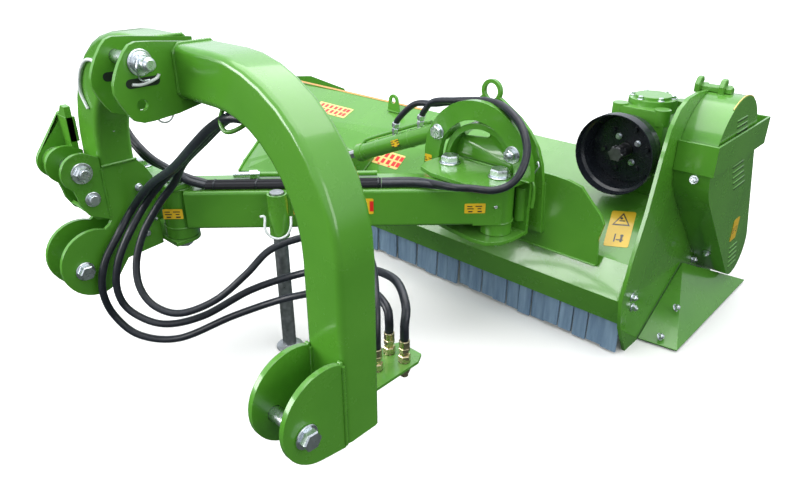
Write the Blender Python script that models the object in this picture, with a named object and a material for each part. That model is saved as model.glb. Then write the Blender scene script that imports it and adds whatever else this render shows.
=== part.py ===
"""Side-shift flail mower for a tractor's rear linkage, built from separate plates, tubes and castings.

Metres, +Z up, the tractor on the -Y side, the drive guard on the +X side, ground at z = 0.
"""

import math

import bmesh
import bpy
from mathutils import Vector

# ---- driving dimensions -------------------------------------------------------------------
GAP = 0.0005                      # air between parts that touch in the real machine
LINK_SPACING = 0.870              # category 2 lower link spacing
NEAR_LEG_X = 0.733
FAR_LEG_X = NEAR_LEG_X - LINK_SPACING
LEG_WIDTH = 0.100
LEG_FRONT_Y = -0.739
LEG_REAR_Y = -0.649
LEG_FOOT_Z = 0.218
MAST_Z = 0.845                    # centre line of the arch's top run
ARCH_BEND = 0.270                 # centre line radius of the arch's bends
PLATE = 0.012                     # thickness of the headstock plates
LOWER_PIN = (-0.830, 0.302)       # (y, z) of the lower link pins
TOP_PIN = (-0.805, 0.872)         # (y, z) of the top link pin
TOP_PLATES_X = (0.250, 0.340)
SHEAR_BOLT = (-0.787, 0.552)      # (y, z) of the big bolt on the far leg

ARM_HINGE = (-0.060, -0.565)      # (x, y) of the vertical pivots of the parallelogram
LINK_HINGE = (-0.230, -0.565)
ARM_HEAD = (0.550, 0.045)
LINK_HEAD = (0.380, 0.045)
BEAM_LOW, BEAM_HIGH = 0.359, 0.466
BEAM_WIDTH = 0.100
LINK_LOW, LINK_HIGH = 0.382, 0.442
JACK = (0.1896, -0.4236)          # (x, y) of the parking leg

TILT_CENTRE = (0.455, 0.475)      # (x, z) of the tilt axis, which runs along y
RING_CENTRE = (0.455, 0.482)      # (x, z) of the middle of the ring plate
RING_OUTER, RING_INNER = 0.184, 0.130
RAM_FOOT = (0.320, 0.556)         # (x, z) of the ram's pin on the ring
RAM_HEAD = (-0.170, 0.350)        # (x, z) of the ram's pin on the hood
RAM_Y = 0.107
RAM_BARREL = 0.409                # from the foot pin to the gland

HEAD_HALF = 0.905                 # half the width over the side plates
SIDE_PLATE = 0.010
SHEET = 0.005
ROTOR = (0.700, 0.195)            # (y, z) of the rotor axis
ROLLER = (0.839, 0.045)           # (y, z) of the rear roller's axis
ROLLER_RADIUS = 0.045
DRIVE = (0.470, 0.535)            # (y, z) of the gearbox's cross shaft
PTO = (0.760, 0.535)              # (x, z) of the input shaft
HOOD_PROFILE = ((0.167, 0.103), (0.133, 0.191), (0.175, 0.283), (0.310, 0.383),
                (0.500, 0.462), (0.800, 0.352), (0.880, 0.230))
HOOD_FAR_PROFILE = ((0.167, 0.103), (0.1655, 0.115), (0.205, 0.155), (0.325, 0.262),
                    (0.500, 0.455), (0.800, 0.350), (0.880, 0.230))
FLAP_COUNT = 17
HOSE_RADIUS = 0.0095

COLOURS = {
    "paint": (0.045, 0.250, 0.020, 0.0),
    "zinc": (0.620, 0.630, 0.640, 1.0),
    "chrome": (0.800, 0.810, 0.820, 1.0),
    "rubber": (0.012, 0.012, 0.014, 0.0),
    "plastic": (0.010, 0.010, 0.012, 0.0),
    "flap": (0.110, 0.130, 0.160, 0.0),
    "casting": (0.045, 0.230, 0.025, 0.0),
    "blade": (0.250, 0.250, 0.260, 1.0),
}


# ---- helpers ------------------------------------------------------------------------------
def clear_scene():
    """Remove whatever the start-up file holds."""
    for obj in list(bpy.data.objects):
        bpy.data.objects.remove(obj, do_unlink=True)


def material(slot):
    """Return the material of a slot, making it the first time."""
    found = bpy.data.materials.get(slot)
    if found:
        return found
    red, green, blue, metal = COLOURS[slot]
    made = bpy.data.materials.new(slot)
    made.use_nodes = True
    shader = made.node_tree.nodes["Principled BSDF"]
    shader.inputs["Base Color"].default_value = (red, green, blue, 1.0)
    shader.inputs["Metallic"].default_value = metal
    shader.inputs["Roughness"].default_value = 0.4
    return made


def solid(name, points, faces, slot, smooth=False):
    """Make one closed mesh object whose faces point outwards."""
    mesh = bpy.data.meshes.new(name)
    mesh.from_pydata([tuple(p) for p in points], [], faces)
    body = bmesh.new()
    body.from_mesh(mesh)
    bmesh.ops.recalc_face_normals(body, faces=body.faces)
    body.to_mesh(mesh)
    body.free()
    mesh.polygons.foreach_set("use_smooth", [smooth] * len(mesh.polygons))
    mesh.materials.append(material(slot))
    obj = bpy.data.objects.new(name, mesh)
    bpy.context.scene.collection.objects.link(obj)
    return obj


def place(axis, first, second, along):
    """Point with two coordinates in the plane across an axis and one along it."""
    if axis == "x":
        return (along, first, second)
    if axis == "y":
        return (first, along, second)
    return (first, second, along)


def prism(name, outline, axis, low, high, slot):
    """Extrude a flat outline between two positions along an axis."""
    count = len(outline)
    points = [place(axis, a, b, low) for a, b in outline]
    points += [place(axis, a, b, high) for a, b in outline]
    faces = [tuple(range(count)), tuple(range(count, 2 * count))]
    faces += [(i, (i + 1) % count, (i + 1) % count + count, i + count) for i in range(count)]
    return solid(name, points, faces, slot)


def lathe(name, profile, origin, axis, slot, steps=24):
    """Turn a closed (radius, distance) profile about an axis through origin."""
    direction = Vector(axis).normalized()
    across = direction.orthogonal().normalized()
    other = direction.cross(across)
    points, rings = [], []
    for radius, distance in profile:
        centre = Vector(origin) + direction * distance
        if radius < 1e-6:
            rings.append([len(points)] * steps)
            points.append(centre)
            continue
        rings.append(list(range(len(points), len(points) + steps)))
        for step in range(steps):
            turn = 2 * math.pi * (step + 0.5) / steps
            points.append(centre + (across * math.cos(turn) + other * math.sin(turn)) * radius)
    faces = []
    for here, there in zip(rings, rings[1:] + rings[:1]):
        for step in range(steps):
            after = (step + 1) % steps
            ring = [here[step], here[after], there[after], there[step]]
            kept = list(dict.fromkeys(ring))
            if len(kept) > 2:
                faces.append(tuple(kept))
    return solid(name, points, faces, slot, smooth=True)


def rod(name, origin, axis, radius, start, end, slot, steps=24):
    """Plain round bar between two distances along an axis."""
    profile = [(0, start), (radius, start), (radius, end), (0, end)]
    return lathe(name, profile, origin, axis, slot, steps)


def arc(centre, radius, first, last, steps):
    """Points on an arc, angles in degrees."""
    found = []
    for step in range(steps + 1):
        turn = math.radians(first + (last - first) * step / steps)
        found.append((centre[0] + radius * math.cos(turn), centre[1] + radius * math.sin(turn)))
    return found


def rounded(width, height, radius, steps=3):
    """Rounded rectangle about the origin."""
    across, up = width / 2 - radius, height / 2 - radius
    outline = arc((across, up), radius, 0, 90, steps)
    outline += arc((-across, up), radius, 90, 180, steps)
    outline += arc((-across, -up), radius, 180, 270, steps)
    return outline + arc((across, -up), radius, 270, 360, steps)


def sweep(name, route, side, section, slot):
    """Sweep a section along a route that bends only about the side direction."""
    side = Vector(side).normalized()
    points, faces = [], []
    route = [Vector(p) for p in route]
    for index, here in enumerate(route):
        before = route[max(index - 1, 0)]
        after = route[min(index + 1, len(route) - 1)]
        across = side.cross(after - before).normalized()
        points += [here + across * a + side * b for a, b in section]
    count = len(section)
    for ring in range(len(route) - 1):
        start = ring * count
        for i in range(count):
            j = (i + 1) % count
            faces.append((start + i, start + j, start + count + j, start + count + i))
    faces.append(tuple(range(count)))
    faces.append(tuple(range(len(points) - count, len(points))))
    return solid(name, points, faces, slot)


def combine(target, operation, *tools):
    """Cut tools out of a part, or weld them on; the tools are hidden helpers."""
    for tool in tools:
        step = target.modifiers.new(operation.lower() + " " + tool.name, "BOOLEAN")
        step.operation = operation
        step.solver = "EXACT"
        step.object = tool
        tool.hide_render = True
        tool.display_type = "WIRE"
    return target


def cut(target, *tools):
    """Take the tools' volumes out of a part."""
    return combine(target, "DIFFERENCE", *tools)


def weld(target, *tools):
    """Add the tools' volumes to a part."""
    return combine(target, "UNION", *tools)


def bore(target, origin, axis, radius, start, end, steps=20):
    """Drill a round hole between two distances along an axis."""
    tool = rod("bore in " + target.name, origin, axis, radius, start, end, "zinc", steps)
    return cut(target, tool)


def stepped_pin(name, origin, axis, sections, slot="zinc", steps=20):
    """Pin made of cylinders given as (radius, start, end), in order along the axis."""
    profile = [(0, sections[0][1])]
    for radius, start, end in sections:
        profile += [(radius, start), (radius, end)]
    profile.append((0, sections[-1][2]))
    return lathe(name, profile, origin, axis, slot, steps)


def move_origin(obj, point):
    """Put an object's origin on its joint without moving its mesh in the world."""
    shift = Vector(point)
    for vertex in obj.data.vertices:
        vertex.co -= shift
    obj.location = shift
    return obj


def hose(name, route, radius, slot="rubber"):
    """Round tube along a smooth curve through hand-chosen points."""
    knots = [Vector(p) for p in route]
    knots = [knots[0] * 2 - knots[1]] + knots + [knots[-1] * 2 - knots[-2]]
    smooth = []
    for i in range(1, len(knots) - 2):
        p0, p1, p2, p3 = knots[i - 1], knots[i], knots[i + 1], knots[i + 2]
        parts = max(2, round((p2 - p1).length / (5.0 * radius)))
        for step in range(parts):
            t = step / parts
            pull = (p2 - p0) * t + (2 * p0 - 5 * p1 + 4 * p2 - p3) * t * t
            smooth.append(p1 + 0.5 * (pull + (3 * p1 - p0 - 3 * p2 + p3) * t ** 3))
    smooth.append(knots[-2])
    curve = bpy.data.curves.new(name, "CURVE")
    curve.dimensions = "3D"
    curve.bevel_depth = radius
    curve.bevel_resolution = 2
    curve.use_fill_caps = True
    line = curve.splines.new("POLY")
    line.points.add(len(smooth) - 1)
    for point, co in zip(line.points, smooth):
        point.co = (co.x, co.y, co.z, 1.0)
    curve.materials.append(material(slot))
    obj = bpy.data.objects.new(name, curve)
    bpy.context.scene.collection.objects.link(obj)
    return obj


# ---- headstock ----------------------------------------------------------------------------
def arch_route(leg_x, inward, foot_z, end_x):
    """Centre line of one half of the arch, from the foot of the leg to the top plates."""
    middle_y = (LEG_FRONT_Y + LEG_REAR_Y) / 2
    bend_x = leg_x + inward * ARCH_BEND
    bend_z = MAST_Z - ARCH_BEND
    route = [(leg_x, middle_y, foot_z)]
    for step in range(11):
        turn = math.radians(90 * step / 10)
        x = bend_x - inward * ARCH_BEND * math.cos(turn)
        route.append((x, middle_y, bend_z + ARCH_BEND * math.sin(turn)))
    route.append((end_x, middle_y, MAST_Z))
    return route


def arch():
    """The two bent box tubes whose top ends meet the top link plates."""
    section = rounded(LEG_WIDTH, LEG_REAR_Y - LEG_FRONT_Y, 0.014)
    near_end = TOP_PLATES_X[1] + 0.010 + GAP
    far_end = TOP_PLATES_X[0] - GAP
    near = arch_route(NEAR_LEG_X, -1, LEG_FOOT_Z, near_end)
    far = arch_route(FAR_LEG_X, 1, 0.555, far_end)
    sweep("arch_near_tube", near, (0, 1, 0), section, "paint")
    sweep("arch_far_tube", far, (0, 1, 0), section, "paint")


def top_link_plate(name, low_x):
    """One of the two plates that hold the top link pin between the arch's halves."""
    outline = [(-0.645, 0.890), (-0.779, 0.905), (-0.806, 0.907), (-0.819, 0.903), (-0.830, 0.892),
               (-0.843, 0.873), (-0.852, 0.856), (-0.858, 0.840), (-0.859, 0.824), (-0.851, 0.803),
               (-0.840, 0.783), (-0.830, 0.770), (-0.814, 0.764), (-0.794, 0.764), (-0.742, 0.769),
               (-0.682, 0.781), (-0.645, 0.790)]
    plate = prism(name, outline, "x", low_x, low_x + 0.010, "paint")
    bore(plate, (0, *TOP_PIN), (1, 0, 0), 0.0130, low_x - 0.02, low_x + 0.03, 28)
    bore(plate, (0, -0.812, 0.797), (1, 0, 0), 0.0105, low_x - 0.02, low_x + 0.03, 24)
    slot = [(y - 0.804, z + 0.837) for y, z in rounded(0.060, 0.013, 0.006, 4)]
    cut(plate, prism("slot in " + name, slot, "x", low_x - 0.02, low_x + 0.03, "zinc"))


def top_link():
    """Plates and pin of the upper hitch point."""
    top_link_plate("toplink_plate_far", TOP_PLATES_X[0])
    top_link_plate("toplink_plate_near", TOP_PLATES_X[1])
    sections = [(0.0125, 0.226, 0.2414), (0.021, 0.2414, 0.2494), (0.0125, 0.2494, 0.3506),
                (0.022, 0.3506, 0.3580), (0.0125, 0.3580, 0.392)]
    stepped_pin("toplink_pin", (0, *TOP_PIN), (1, 0, 0), sections)


def near_clevis():
    """Two lobed plates in front of the near leg, and the lower link pin across them."""
    front = LEG_FRONT_Y - GAP
    outline = [(front, 0.2150)] + arc((-0.782, 0.318), 0.095, 262, 66, 24) + [(front, 0.403)]
    outer_x = NEAR_LEG_X + LEG_WIDTH / 2
    inner_x = NEAR_LEG_X - LEG_WIDTH / 2
    for name, low in (("clevis_near_outer", outer_x - PLATE), ("clevis_near_inner", inner_x)):
        plate = prism(name, outline, "x", low, low + PLATE, "paint")
        bore(plate, (0, *LOWER_PIN), (1, 0, 0), 0.0145, low - 0.02, low + 0.04)
    sections = [(0.022, inner_x - 0.018, inner_x - GAP), (0.014, inner_x - GAP, outer_x + GAP),
                (0.024, outer_x + GAP, outer_x + 0.006), (0.018, outer_x + 0.006, outer_x + 0.022)]
    stepped_pin("lower_pin_near", (0, *LOWER_PIN), (1, 0, 0), sections)


def gusset_outline():
    """Side view of the plates under the far leg."""
    front = LEG_FRONT_Y - 0.0008
    outline = [(front, 0.581)] + arc(SHEAR_BOLT, 0.048, 52, 238, 16)
    outline += [(-0.807, 0.490), (-0.804, 0.470), (-0.788, 0.440), (-0.744, 0.418), (-0.7405, 0.4125),
                (-0.746, 0.403)]
    outline += arc((-0.795, 0.313), 0.0895, 66, 270, 22)
    outline += [(-0.775, 0.229), (-0.748, 0.256), (-0.715, 0.297), (-0.6125, 0.306)]
    outline += [(-0.6125, 0.500), (-0.630, 0.532), (-0.6485, 0.5545), (front, 0.5545)]
    return outline


def far_gusset():
    """Plates, web, bolt and pin that carry the far lower link and the arm's hinge."""
    outer_x = FAR_LEG_X + LEG_WIDTH / 2
    inner_x = FAR_LEG_X - LEG_WIDTH / 2
    for name, low in (("gusset_plate_near", outer_x - PLATE), ("gusset_plate_far", inner_x)):
        plate = prism(name, gusset_outline(), "x", low, low + PLATE, "paint")
        bore(plate, (0, *SHEAR_BOLT), (1, 0, 0), 0.0165, low - 0.02, low + 0.04)
        bore(plate, (0, *LOWER_PIN), (1, 0, 0), 0.0145, low - 0.02, low + 0.04)
    web = [(-0.797, 0.455), (-0.789, 0.461), (-0.762, 0.430), (-0.735, 0.424), (-0.640, 0.424),
           (-0.640, 0.330), (-0.650, 0.330), (-0.650, 0.413), (-0.737, 0.413), (-0.768, 0.420)]
    prism("gusset_web", web, "x", inner_x + PLATE + GAP, outer_x - PLATE - GAP, "paint")
    bolt = [(0.024, -0.268, -0.2465), (0.016, -0.2465, outer_x + GAP),
            (0.026, outer_x + GAP, outer_x + 0.005), (0.021, outer_x + 0.005, outer_x + 0.024)]
    stepped_pin("shear_bolt", (0, *SHEAR_BOLT), (1, 0, 0), bolt)
    pin = [(0.022, inner_x - 0.018, inner_x - GAP), (0.014, inner_x - GAP, outer_x + GAP),
           (0.024, outer_x + GAP, outer_x + 0.006), (0.018, outer_x + 0.006, outer_x + 0.022)]
    stepped_pin("lower_pin_far", (0, *LOWER_PIN), (1, 0, 0), pin)


def far_cheek():
    """Outer cheek beside the far leg: a lobed plate joined to the leg by a rib and a boss."""
    low = -0.245
    outline = arc(SHEAR_BOLT, 0.046, 150, 380, 20) + [(-0.742, 0.600), (-0.742, 0.673), (-0.757, 0.670)]
    plate = prism("cheek_far", outline, "x", low, low + PLATE, "paint")
    far_face = FAR_LEG_X - LEG_WIDTH / 2 - 0.0003
    rib = prism("cheek rib", [(low + 0.006, -0.760), (far_face, -0.760), (far_face, -0.742),
                              (low + 0.006, -0.742)], "z", 0.600, 0.665, "paint")
    boss = rod("cheek boss", (0, *SHEAR_BOLT), (1, 0, 0), 0.034, low + 0.006, far_face, "paint")
    weld(plate, rib, boss)
    bore(plate, (0, *SHEAR_BOLT), (1, 0, 0), 0.0168, low - 0.02, far_face + 0.02)


def hinge_lugs():
    """Upper and lower hinge plates behind the far gusset, and their two vertical bolts."""
    front = -0.612
    reach = 0.045
    outline = [(ARM_HINGE[0] + reach, front), (ARM_HINGE[0] + reach, ARM_HINGE[1])]
    outline += arc(ARM_HINGE, reach, 10, 90, 5) + arc(LINK_HINGE, reach, 90, 170, 5)
    outline += [(LINK_HINGE[0] - reach, LINK_HINGE[1]), (LINK_HINGE[0] - reach, front)]
    for name, low in (("hinge_lug_top", 0.470), ("hinge_lug_bottom", 0.315)):
        plate = prism(name, outline, "z", low, low + PLATE, "paint")
        for spot in (ARM_HINGE, LINK_HINGE):
            bore(plate, (*spot, 0), (0, 0, 1), 0.0165, low - 0.02, low + 0.04)
    bolt = [(0.024, 0.2940, 0.3145), (0.016, 0.3145, 0.4825), (0.025, 0.4825, 0.504)]
    stepped_pin("hinge_bolt_arm", (*ARM_HINGE, 0), (0, 0, 1), bolt)
    stepped_pin("hinge_bolt_link", (*LINK_HINGE, 0), (0, 0, 1), bolt)


def hose_bracket():
    """Bracket plate behind the near leg with three threaded couplings."""
    rear = LEG_REAR_Y + GAP
    outline = [(0.660, rear), (0.748, rear), (0.748, -0.500), (0.735, -0.476), (0.672, -0.476), (0.660, -0.500)]
    plate = prism("hose_bracket", outline, "z", 0.258, 0.266, "paint")
    for number, (x, y) in enumerate(((0.682, -0.520), (0.726, -0.520), (0.704, -0.580)), 1):
        bore(plate, (x, y, 0), (0, 0, 1), 0.0115, 0.240, 0.290, 16)
        steps = [(0.010, 0.228, 0.2400), (0.014, 0.2400, 0.2575), (0.0108, 0.2575, 0.2665),
                 (0.014, 0.2665, 0.2840), (0.0115, 0.2840, 0.3180)]
        stepped_pin("hose_coupling_%d" % number, (x, y, 0), (0, 0, 1), steps, steps=16)


# ---- parallelogram arm --------------------------------------------------------------------
def bar(name, start, end, low, high, width, sleeve, sleeve_spans, hole, trim):
    """Box tube between two vertical pivots with a turned sleeve at each end."""
    first, last = Vector((*start, 0)), Vector((*end, 0))
    direction = (last - first).normalized()
    middle = (low + high) / 2
    route = [first + direction * trim, last - direction * trim]
    route = [(p.x, p.y, middle) for p in route]
    section = rounded(width, high - low, 0.010)
    tube = sweep(name, route, (0, 0, 1), section, "paint")
    for spot, span in zip((start, end), sleeve_spans):
        weld(tube, rod("sleeve of " + name, (*spot, 0), (0, 0, 1), sleeve, *span, "paint", 28))
    for spot in (start, end):
        bore(tube, (*spot, 0), (0, 0, 1), hole, 0.25, 0.55, 24)
    return move_origin(tube, (*start, middle))


def arm():
    """Main beam, rear link and the carriage's pivot bolts."""
    spans = ((0.3285, 0.4685), (0.3225, 0.4675))
    beam = bar("main_beam", ARM_HINGE, ARM_HEAD, BEAM_LOW, BEAM_HIGH, BEAM_WIDTH, 0.044, spans, 0.0168, 0.030)
    jack_sleeve(beam)
    bar("rear_link", LINK_HINGE, LINK_HEAD, LINK_LOW, LINK_HIGH, 0.060, 0.034, spans, 0.0172, 0.020)
    bolt = [(0.022, 0.2780, 0.2900), (0.026, 0.2900, 0.3080), (0.016, 0.3080, 0.4810),
            (0.031, 0.4810, 0.4845), (0.027, 0.4845, 0.5040)]
    stepped_pin("pivot_bolt_arm", (*ARM_HEAD, 0), (0, 0, 1), bolt)
    stepped_pin("pivot_bolt_link", (*LINK_HEAD, 0), (0, 0, 1), bolt)


def beam_hoses():
    """Two hoses strapped along the top of the beam."""
    first = Vector((*ARM_HINGE, BEAM_HIGH + HOSE_RADIUS + 0.001))
    along = (Vector((*ARM_HEAD, 0)) - Vector((*ARM_HINGE, 0))).normalized()
    side = Vector((along.y, -along.x, 0))
    for number, offset in ((1, 0.012), (2, 0.033)):
        route = [first + along * s + side * offset for s in (0.085, 0.20, 0.32, 0.44, 0.545)]
        hose("beam_hose_%d" % number, route, HOSE_RADIUS)


def jack_sleeve(beam):
    """Weld the parking leg's sleeve to the beam's front face and bore it for the leg."""
    sleeve = rod("jack sleeve", (*JACK, 0), (0, 0, 1), 0.026, 0.350, 0.470, "paint")
    spot = Vector((*JACK, 0.410))
    back = spot + Vector((-1, 1, 0)).normalized() * 0.045
    strip = sweep("jack sleeve strip", [spot, back], (0, 0, 1), rounded(0.020, 0.090, 0.002), "paint")
    weld(beam, sleeve, strip)
    bore(beam, (*JACK, 0), (0, 0, 1), 0.0205, 0.30, 0.52, 24)


def parking_jack():
    """Leg that slides in the beam's sleeve, with its foot disc."""
    leg = [(0, 0), (0.0375, 0), (0.0375, 0.005), (0.0190, 0.012), (0.0185, 0.475), (0, 0.475)]
    move_origin(lathe("jack_leg", leg, (*JACK, 0), (0, 0, 1), "zinc"), (*JACK, 0))


# ---- carriage that hangs the head on the arm ----------------------------------------------
def carriage():
    """Top and bottom plates around the arm's pivots, the web behind them and the tilt ring."""
    upper = [(0.322, 0.0995), (0.322, 0.000), (0.340, -0.036), (0.392, -0.056), (0.560, -0.061),
             (0.592, -0.048), (0.606, -0.015), (0.614, 0.0995)]
    lower = [(0.322, 0.0995), (0.322, 0.030), (0.338, -0.002), (0.400, -0.020), (0.530, -0.042),
             (0.575, -0.036), (0.604, -0.006), (0.614, 0.040), (0.614, 0.0995)]
    for name, low, outline in (("carriage_top", 0.4685, upper), ("carriage_bottom", 0.309, lower)):
        plate = prism(name, outline, "z", low, low + PLATE, "paint")
        for spot in (ARM_HEAD, LINK_HEAD):
            bore(plate, (*spot, 0), (0, 0, 1), 0.0165, low - 0.02, low + 0.04)
    web = [(0.322, 0.309), (0.614, 0.309), (0.614, 0.4805), (0.322, 0.4805)]
    prism("carriage_web", web, "y", 0.100, 0.112, "paint")
    outer = arc(RING_CENTRE, RING_OUTER, -0.3, 180, 32)
    foot = [(0.268, 0.441), (0.3215, 0.441), (0.3215, 0.4812)]
    inner = arc(RING_CENTRE, RING_INNER, 180, -0.3, 28)
    ring = prism("tilt_ring", outer + foot + inner, "y", 0.060, 0.080, "paint")
    bore(ring, (RAM_FOOT[0], 0, RAM_FOOT[1]), (0, 1, 0), 0.0125, 0.04, 0.10)
    band = arc(TILT_CENTRE, 0.125, 3.6, 176.4, 24) + arc(TILT_CENTRE, 0.108, 175.8, 4.2, 22)
    prism("tilt_bearing", band, "y", 0.0805, 0.1375, "paint")
    pin = [(0.0225, 0.044, 0.0595), (0.0120, 0.0595, 0.1350)]
    stepped_pin("ram_foot_pin", (RAM_FOOT[0], 0, RAM_FOOT[1]), (0, 1, 0), pin)


def tilt_ram():
    """Hydraulic ram that tilts the head: barrel on the ring, rod on the hood."""
    foot = Vector((RAM_FOOT[0], RAM_Y, RAM_FOOT[1]))
    head = Vector((RAM_HEAD[0], RAM_Y, RAM_HEAD[1]))
    along = (head - foot).normalized()
    length = (head - foot).length
    body = [(0, 0.010), (0.024, 0.012), (0.027, 0.030), (0.027, RAM_BARREL - 0.030),
            (0.030, RAM_BARREL - 0.029), (0.030, RAM_BARREL), (0.0165, RAM_BARREL),
            (0.0165, 0.170), (0, 0.170)]
    barrel = lathe("tilt_barrel", body, foot, along, "paint")
    eye = rod("barrel eye", (foot.x, 0, foot.z), (0, 1, 0), 0.029, 0.0845, 0.1295, "paint")
    weld(barrel, eye)
    bore(barrel, (foot.x, 0, foot.z), (0, 1, 0), 0.0125, 0.07, 0.15)
    move_origin(barrel, foot)
    stem = [(0, 0.250), (0.0155, 0.250), (0.0155, length - 0.026), (0, length - 0.026)]
    piston = lathe("tilt_rod", stem, foot, along, "chrome")
    ring = [(0.0220, 0.0910), (0.0340, 0.0910), (0.0340, 0.1230), (0.0220, 0.1230)]
    weld(piston, lathe("rod eye", ring, (head.x, 0, head.z), (0, 1, 0), "chrome"))
    move_origin(piston, foot)


# ---- mowing head --------------------------------------------------------------------------
def tilt_plate():
    """C-shaped plate that turns on the ring's bearing, with the lifting eye on top."""
    eye = (0.441, 0.678)
    outline = [(0.353, 0.637), (0.370, 0.643), (0.398, 0.652)] + arc(eye, 0.033, 205, -25, 18)
    outline += [(0.479, 0.660), (0.507, 0.6425), (0.541, 0.621), (0.576, 0.589), (0.605, 0.550),
                (0.622, 0.505), (0.630, 0.460), (0.640, 0.310), (0.360, 0.310), (0.300, 0.340),
                (0.283, 0.380)]
    outline += arc(TILT_CENTRE, 0.127, 209, 469, 30)
    plate = prism("tilt_plate", outline, "y", 0.138, 0.150, "paint")
    bore(plate, (eye[0], 0, eye[1]), (0, 1, 0), 0.0220, 0.12, 0.17, 28)


def hood_base():
    """Upright plate behind the tilt plate, with the box that stiffens it down to the hood."""
    outline = [(0.300, 0.262), (0.809, 0.262), (0.809, 0.292), (0.805, 0.338), (0.816, 0.385),
               (0.801, 0.409), (0.767, 0.442), (0.740, 0.470), (0.700, 0.479), (0.652, 0.482),
               (0.300, 0.480)]
    front = prism("hood_base", outline, "y", 0.1505, 0.1605, "paint")
    side = [(0.1550, 0.289), (0.1790, 0.289), (0.3075, 0.3838), (0.3075, 0.398), (0.1550, 0.478)]
    weld(front, prism("hood base box", side, "x", 0.301, 0.640, "paint"))


def inset(profile, depth):
    """Profile moved inwards, for the inside face of a bent sheet."""
    moved = []
    for i, here in enumerate(profile):
        before, after = profile[max(i - 1, 0)], profile[min(i + 1, len(profile) - 1)]
        across = []
        for a, b in ((before, here), (here, after)):
            span = Vector((b[0] - a[0], b[1] - a[1]))
            if span.length > 0:
                across.append(Vector((span.y, -span.x)).normalized())
        normal = sum(across, Vector((0, 0))).normalized()
        reach = depth / max(0.4, normal.dot(across[0]))
        moved.append((here[0] + normal.x * reach, here[1] + normal.y * reach))
    return moved


def hood_shell():
    """Bent sheet over the rotor; its far front corner is folded back."""
    edge = HEAD_HALF - SIDE_PLATE - GAP
    stations = [(edge, HOOD_PROFILE), (-0.560, HOOD_PROFILE), (-edge, HOOD_FAR_PROFILE)]
    points, faces = [], []
    for x, profile in stations:
        loop = list(profile) + inset(profile, SHEET)[::-1]
        points += [(x, y, z) for y, z in loop]
    count = 2 * len(HOOD_PROFILE)
    for ring in range(len(stations) - 1):
        for i in range(count):
            j = (i + 1) % count
            a, b = ring * count, (ring + 1) * count
            faces += [(a + i, a + j, b + j), (a + i, b + j, b + i)]
    half = len(HOOD_PROFILE)
    for start in (0, len(points) - count):
        for i in range(half - 1):
            faces.append((start + i, start + i + 1, start + count - 2 - i, start + count - 1 - i))
    solid("hood_shell", points, faces, "paint")


def side_plates():
    """End plates of the head with their bores for the shafts."""
    near = [(0.210, 0), (0.151, 0.102), (0.131, 0.191), (0.158, 0.305), (0.202, 0.424), (0.235, 0.562),
            (0.257, 0.634), (0.292, 0.678), (0.340, 0.699), (0.404, 0.703), (0.500, 0.695), (0.580, 0.665),
            (0.650, 0.610), (0.700, 0.560), (0.800, 0.440), (0.885, 0.270), (0.885, 0.050), (0.860, 0)]
    far = [(0.210, 0), (0.163, 0.094), (0.161, 0.117), (0.200, 0.158), (0.330, 0.274), (0.500, 0.476),
           (0.600, 0.462), (0.800, 0.372), (0.885, 0.250), (0.885, 0.050), (0.860, 0)]
    inner = HEAD_HALF - SIDE_PLATE
    plates = (("side_plate_near", near, inner), ("side_plate_far", far, -HEAD_HALF))
    for name, outline, low in plates:
        plate = prism(name, outline, "x", low, low + SIDE_PLATE, "paint")
        bore(plate, (0, *ROTOR), (1, 0, 0), 0.0330, low - 0.02, low + 0.03)
        bore(plate, (0, *ROLLER), (1, 0, 0), 0.0125, low - 0.02, low + 0.03)
        if low > 0:
            bore(plate, (0, *DRIVE), (1, 0, 0), 0.0300, low - 0.02, low + 0.03)


def skid(name, side):
    """Folded runner that flares out from the foot of a side plate."""
    inner = HEAD_HALF + 0.0034
    points = [(inner, 0.285, 0.007), (1.016, 0.300, 0.007), (1.016, 0.864, 0.007), (inner, 0.534, 0.160)]
    points = [(side * x, y, z) for x, y, z in points]
    sheet = solid(name, points, [(0, 1, 3), (1, 2, 3)], "paint")
    thick = sheet.modifiers.new("thickness", "SOLIDIFY")
    thick.thickness = 0.006
    thick.offset = 0


def flaps():
    """Curtain of overlapping flaps behind the front lip."""
    edge = HEAD_HALF - SIDE_PLATE - 0.002
    pitch = 2 * edge / FLAP_COUNT
    front, back = [], []
    for k in range(FLAP_COUNT):
        y = 0.1745 if k % 2 else 0.1775
        x0, x1 = -edge + k * pitch, -edge + (k + 1) * pitch
        front += [(x0, y), (x1, y)]
        back += [(x0, y + 0.005), (x1, y + 0.005)]
    curtain = prism("flap_curtain", front + back[::-1], "z", 0.008, 0.106, "flap")
    move_origin(curtain, (0, 0.179, 0.103))


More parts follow.
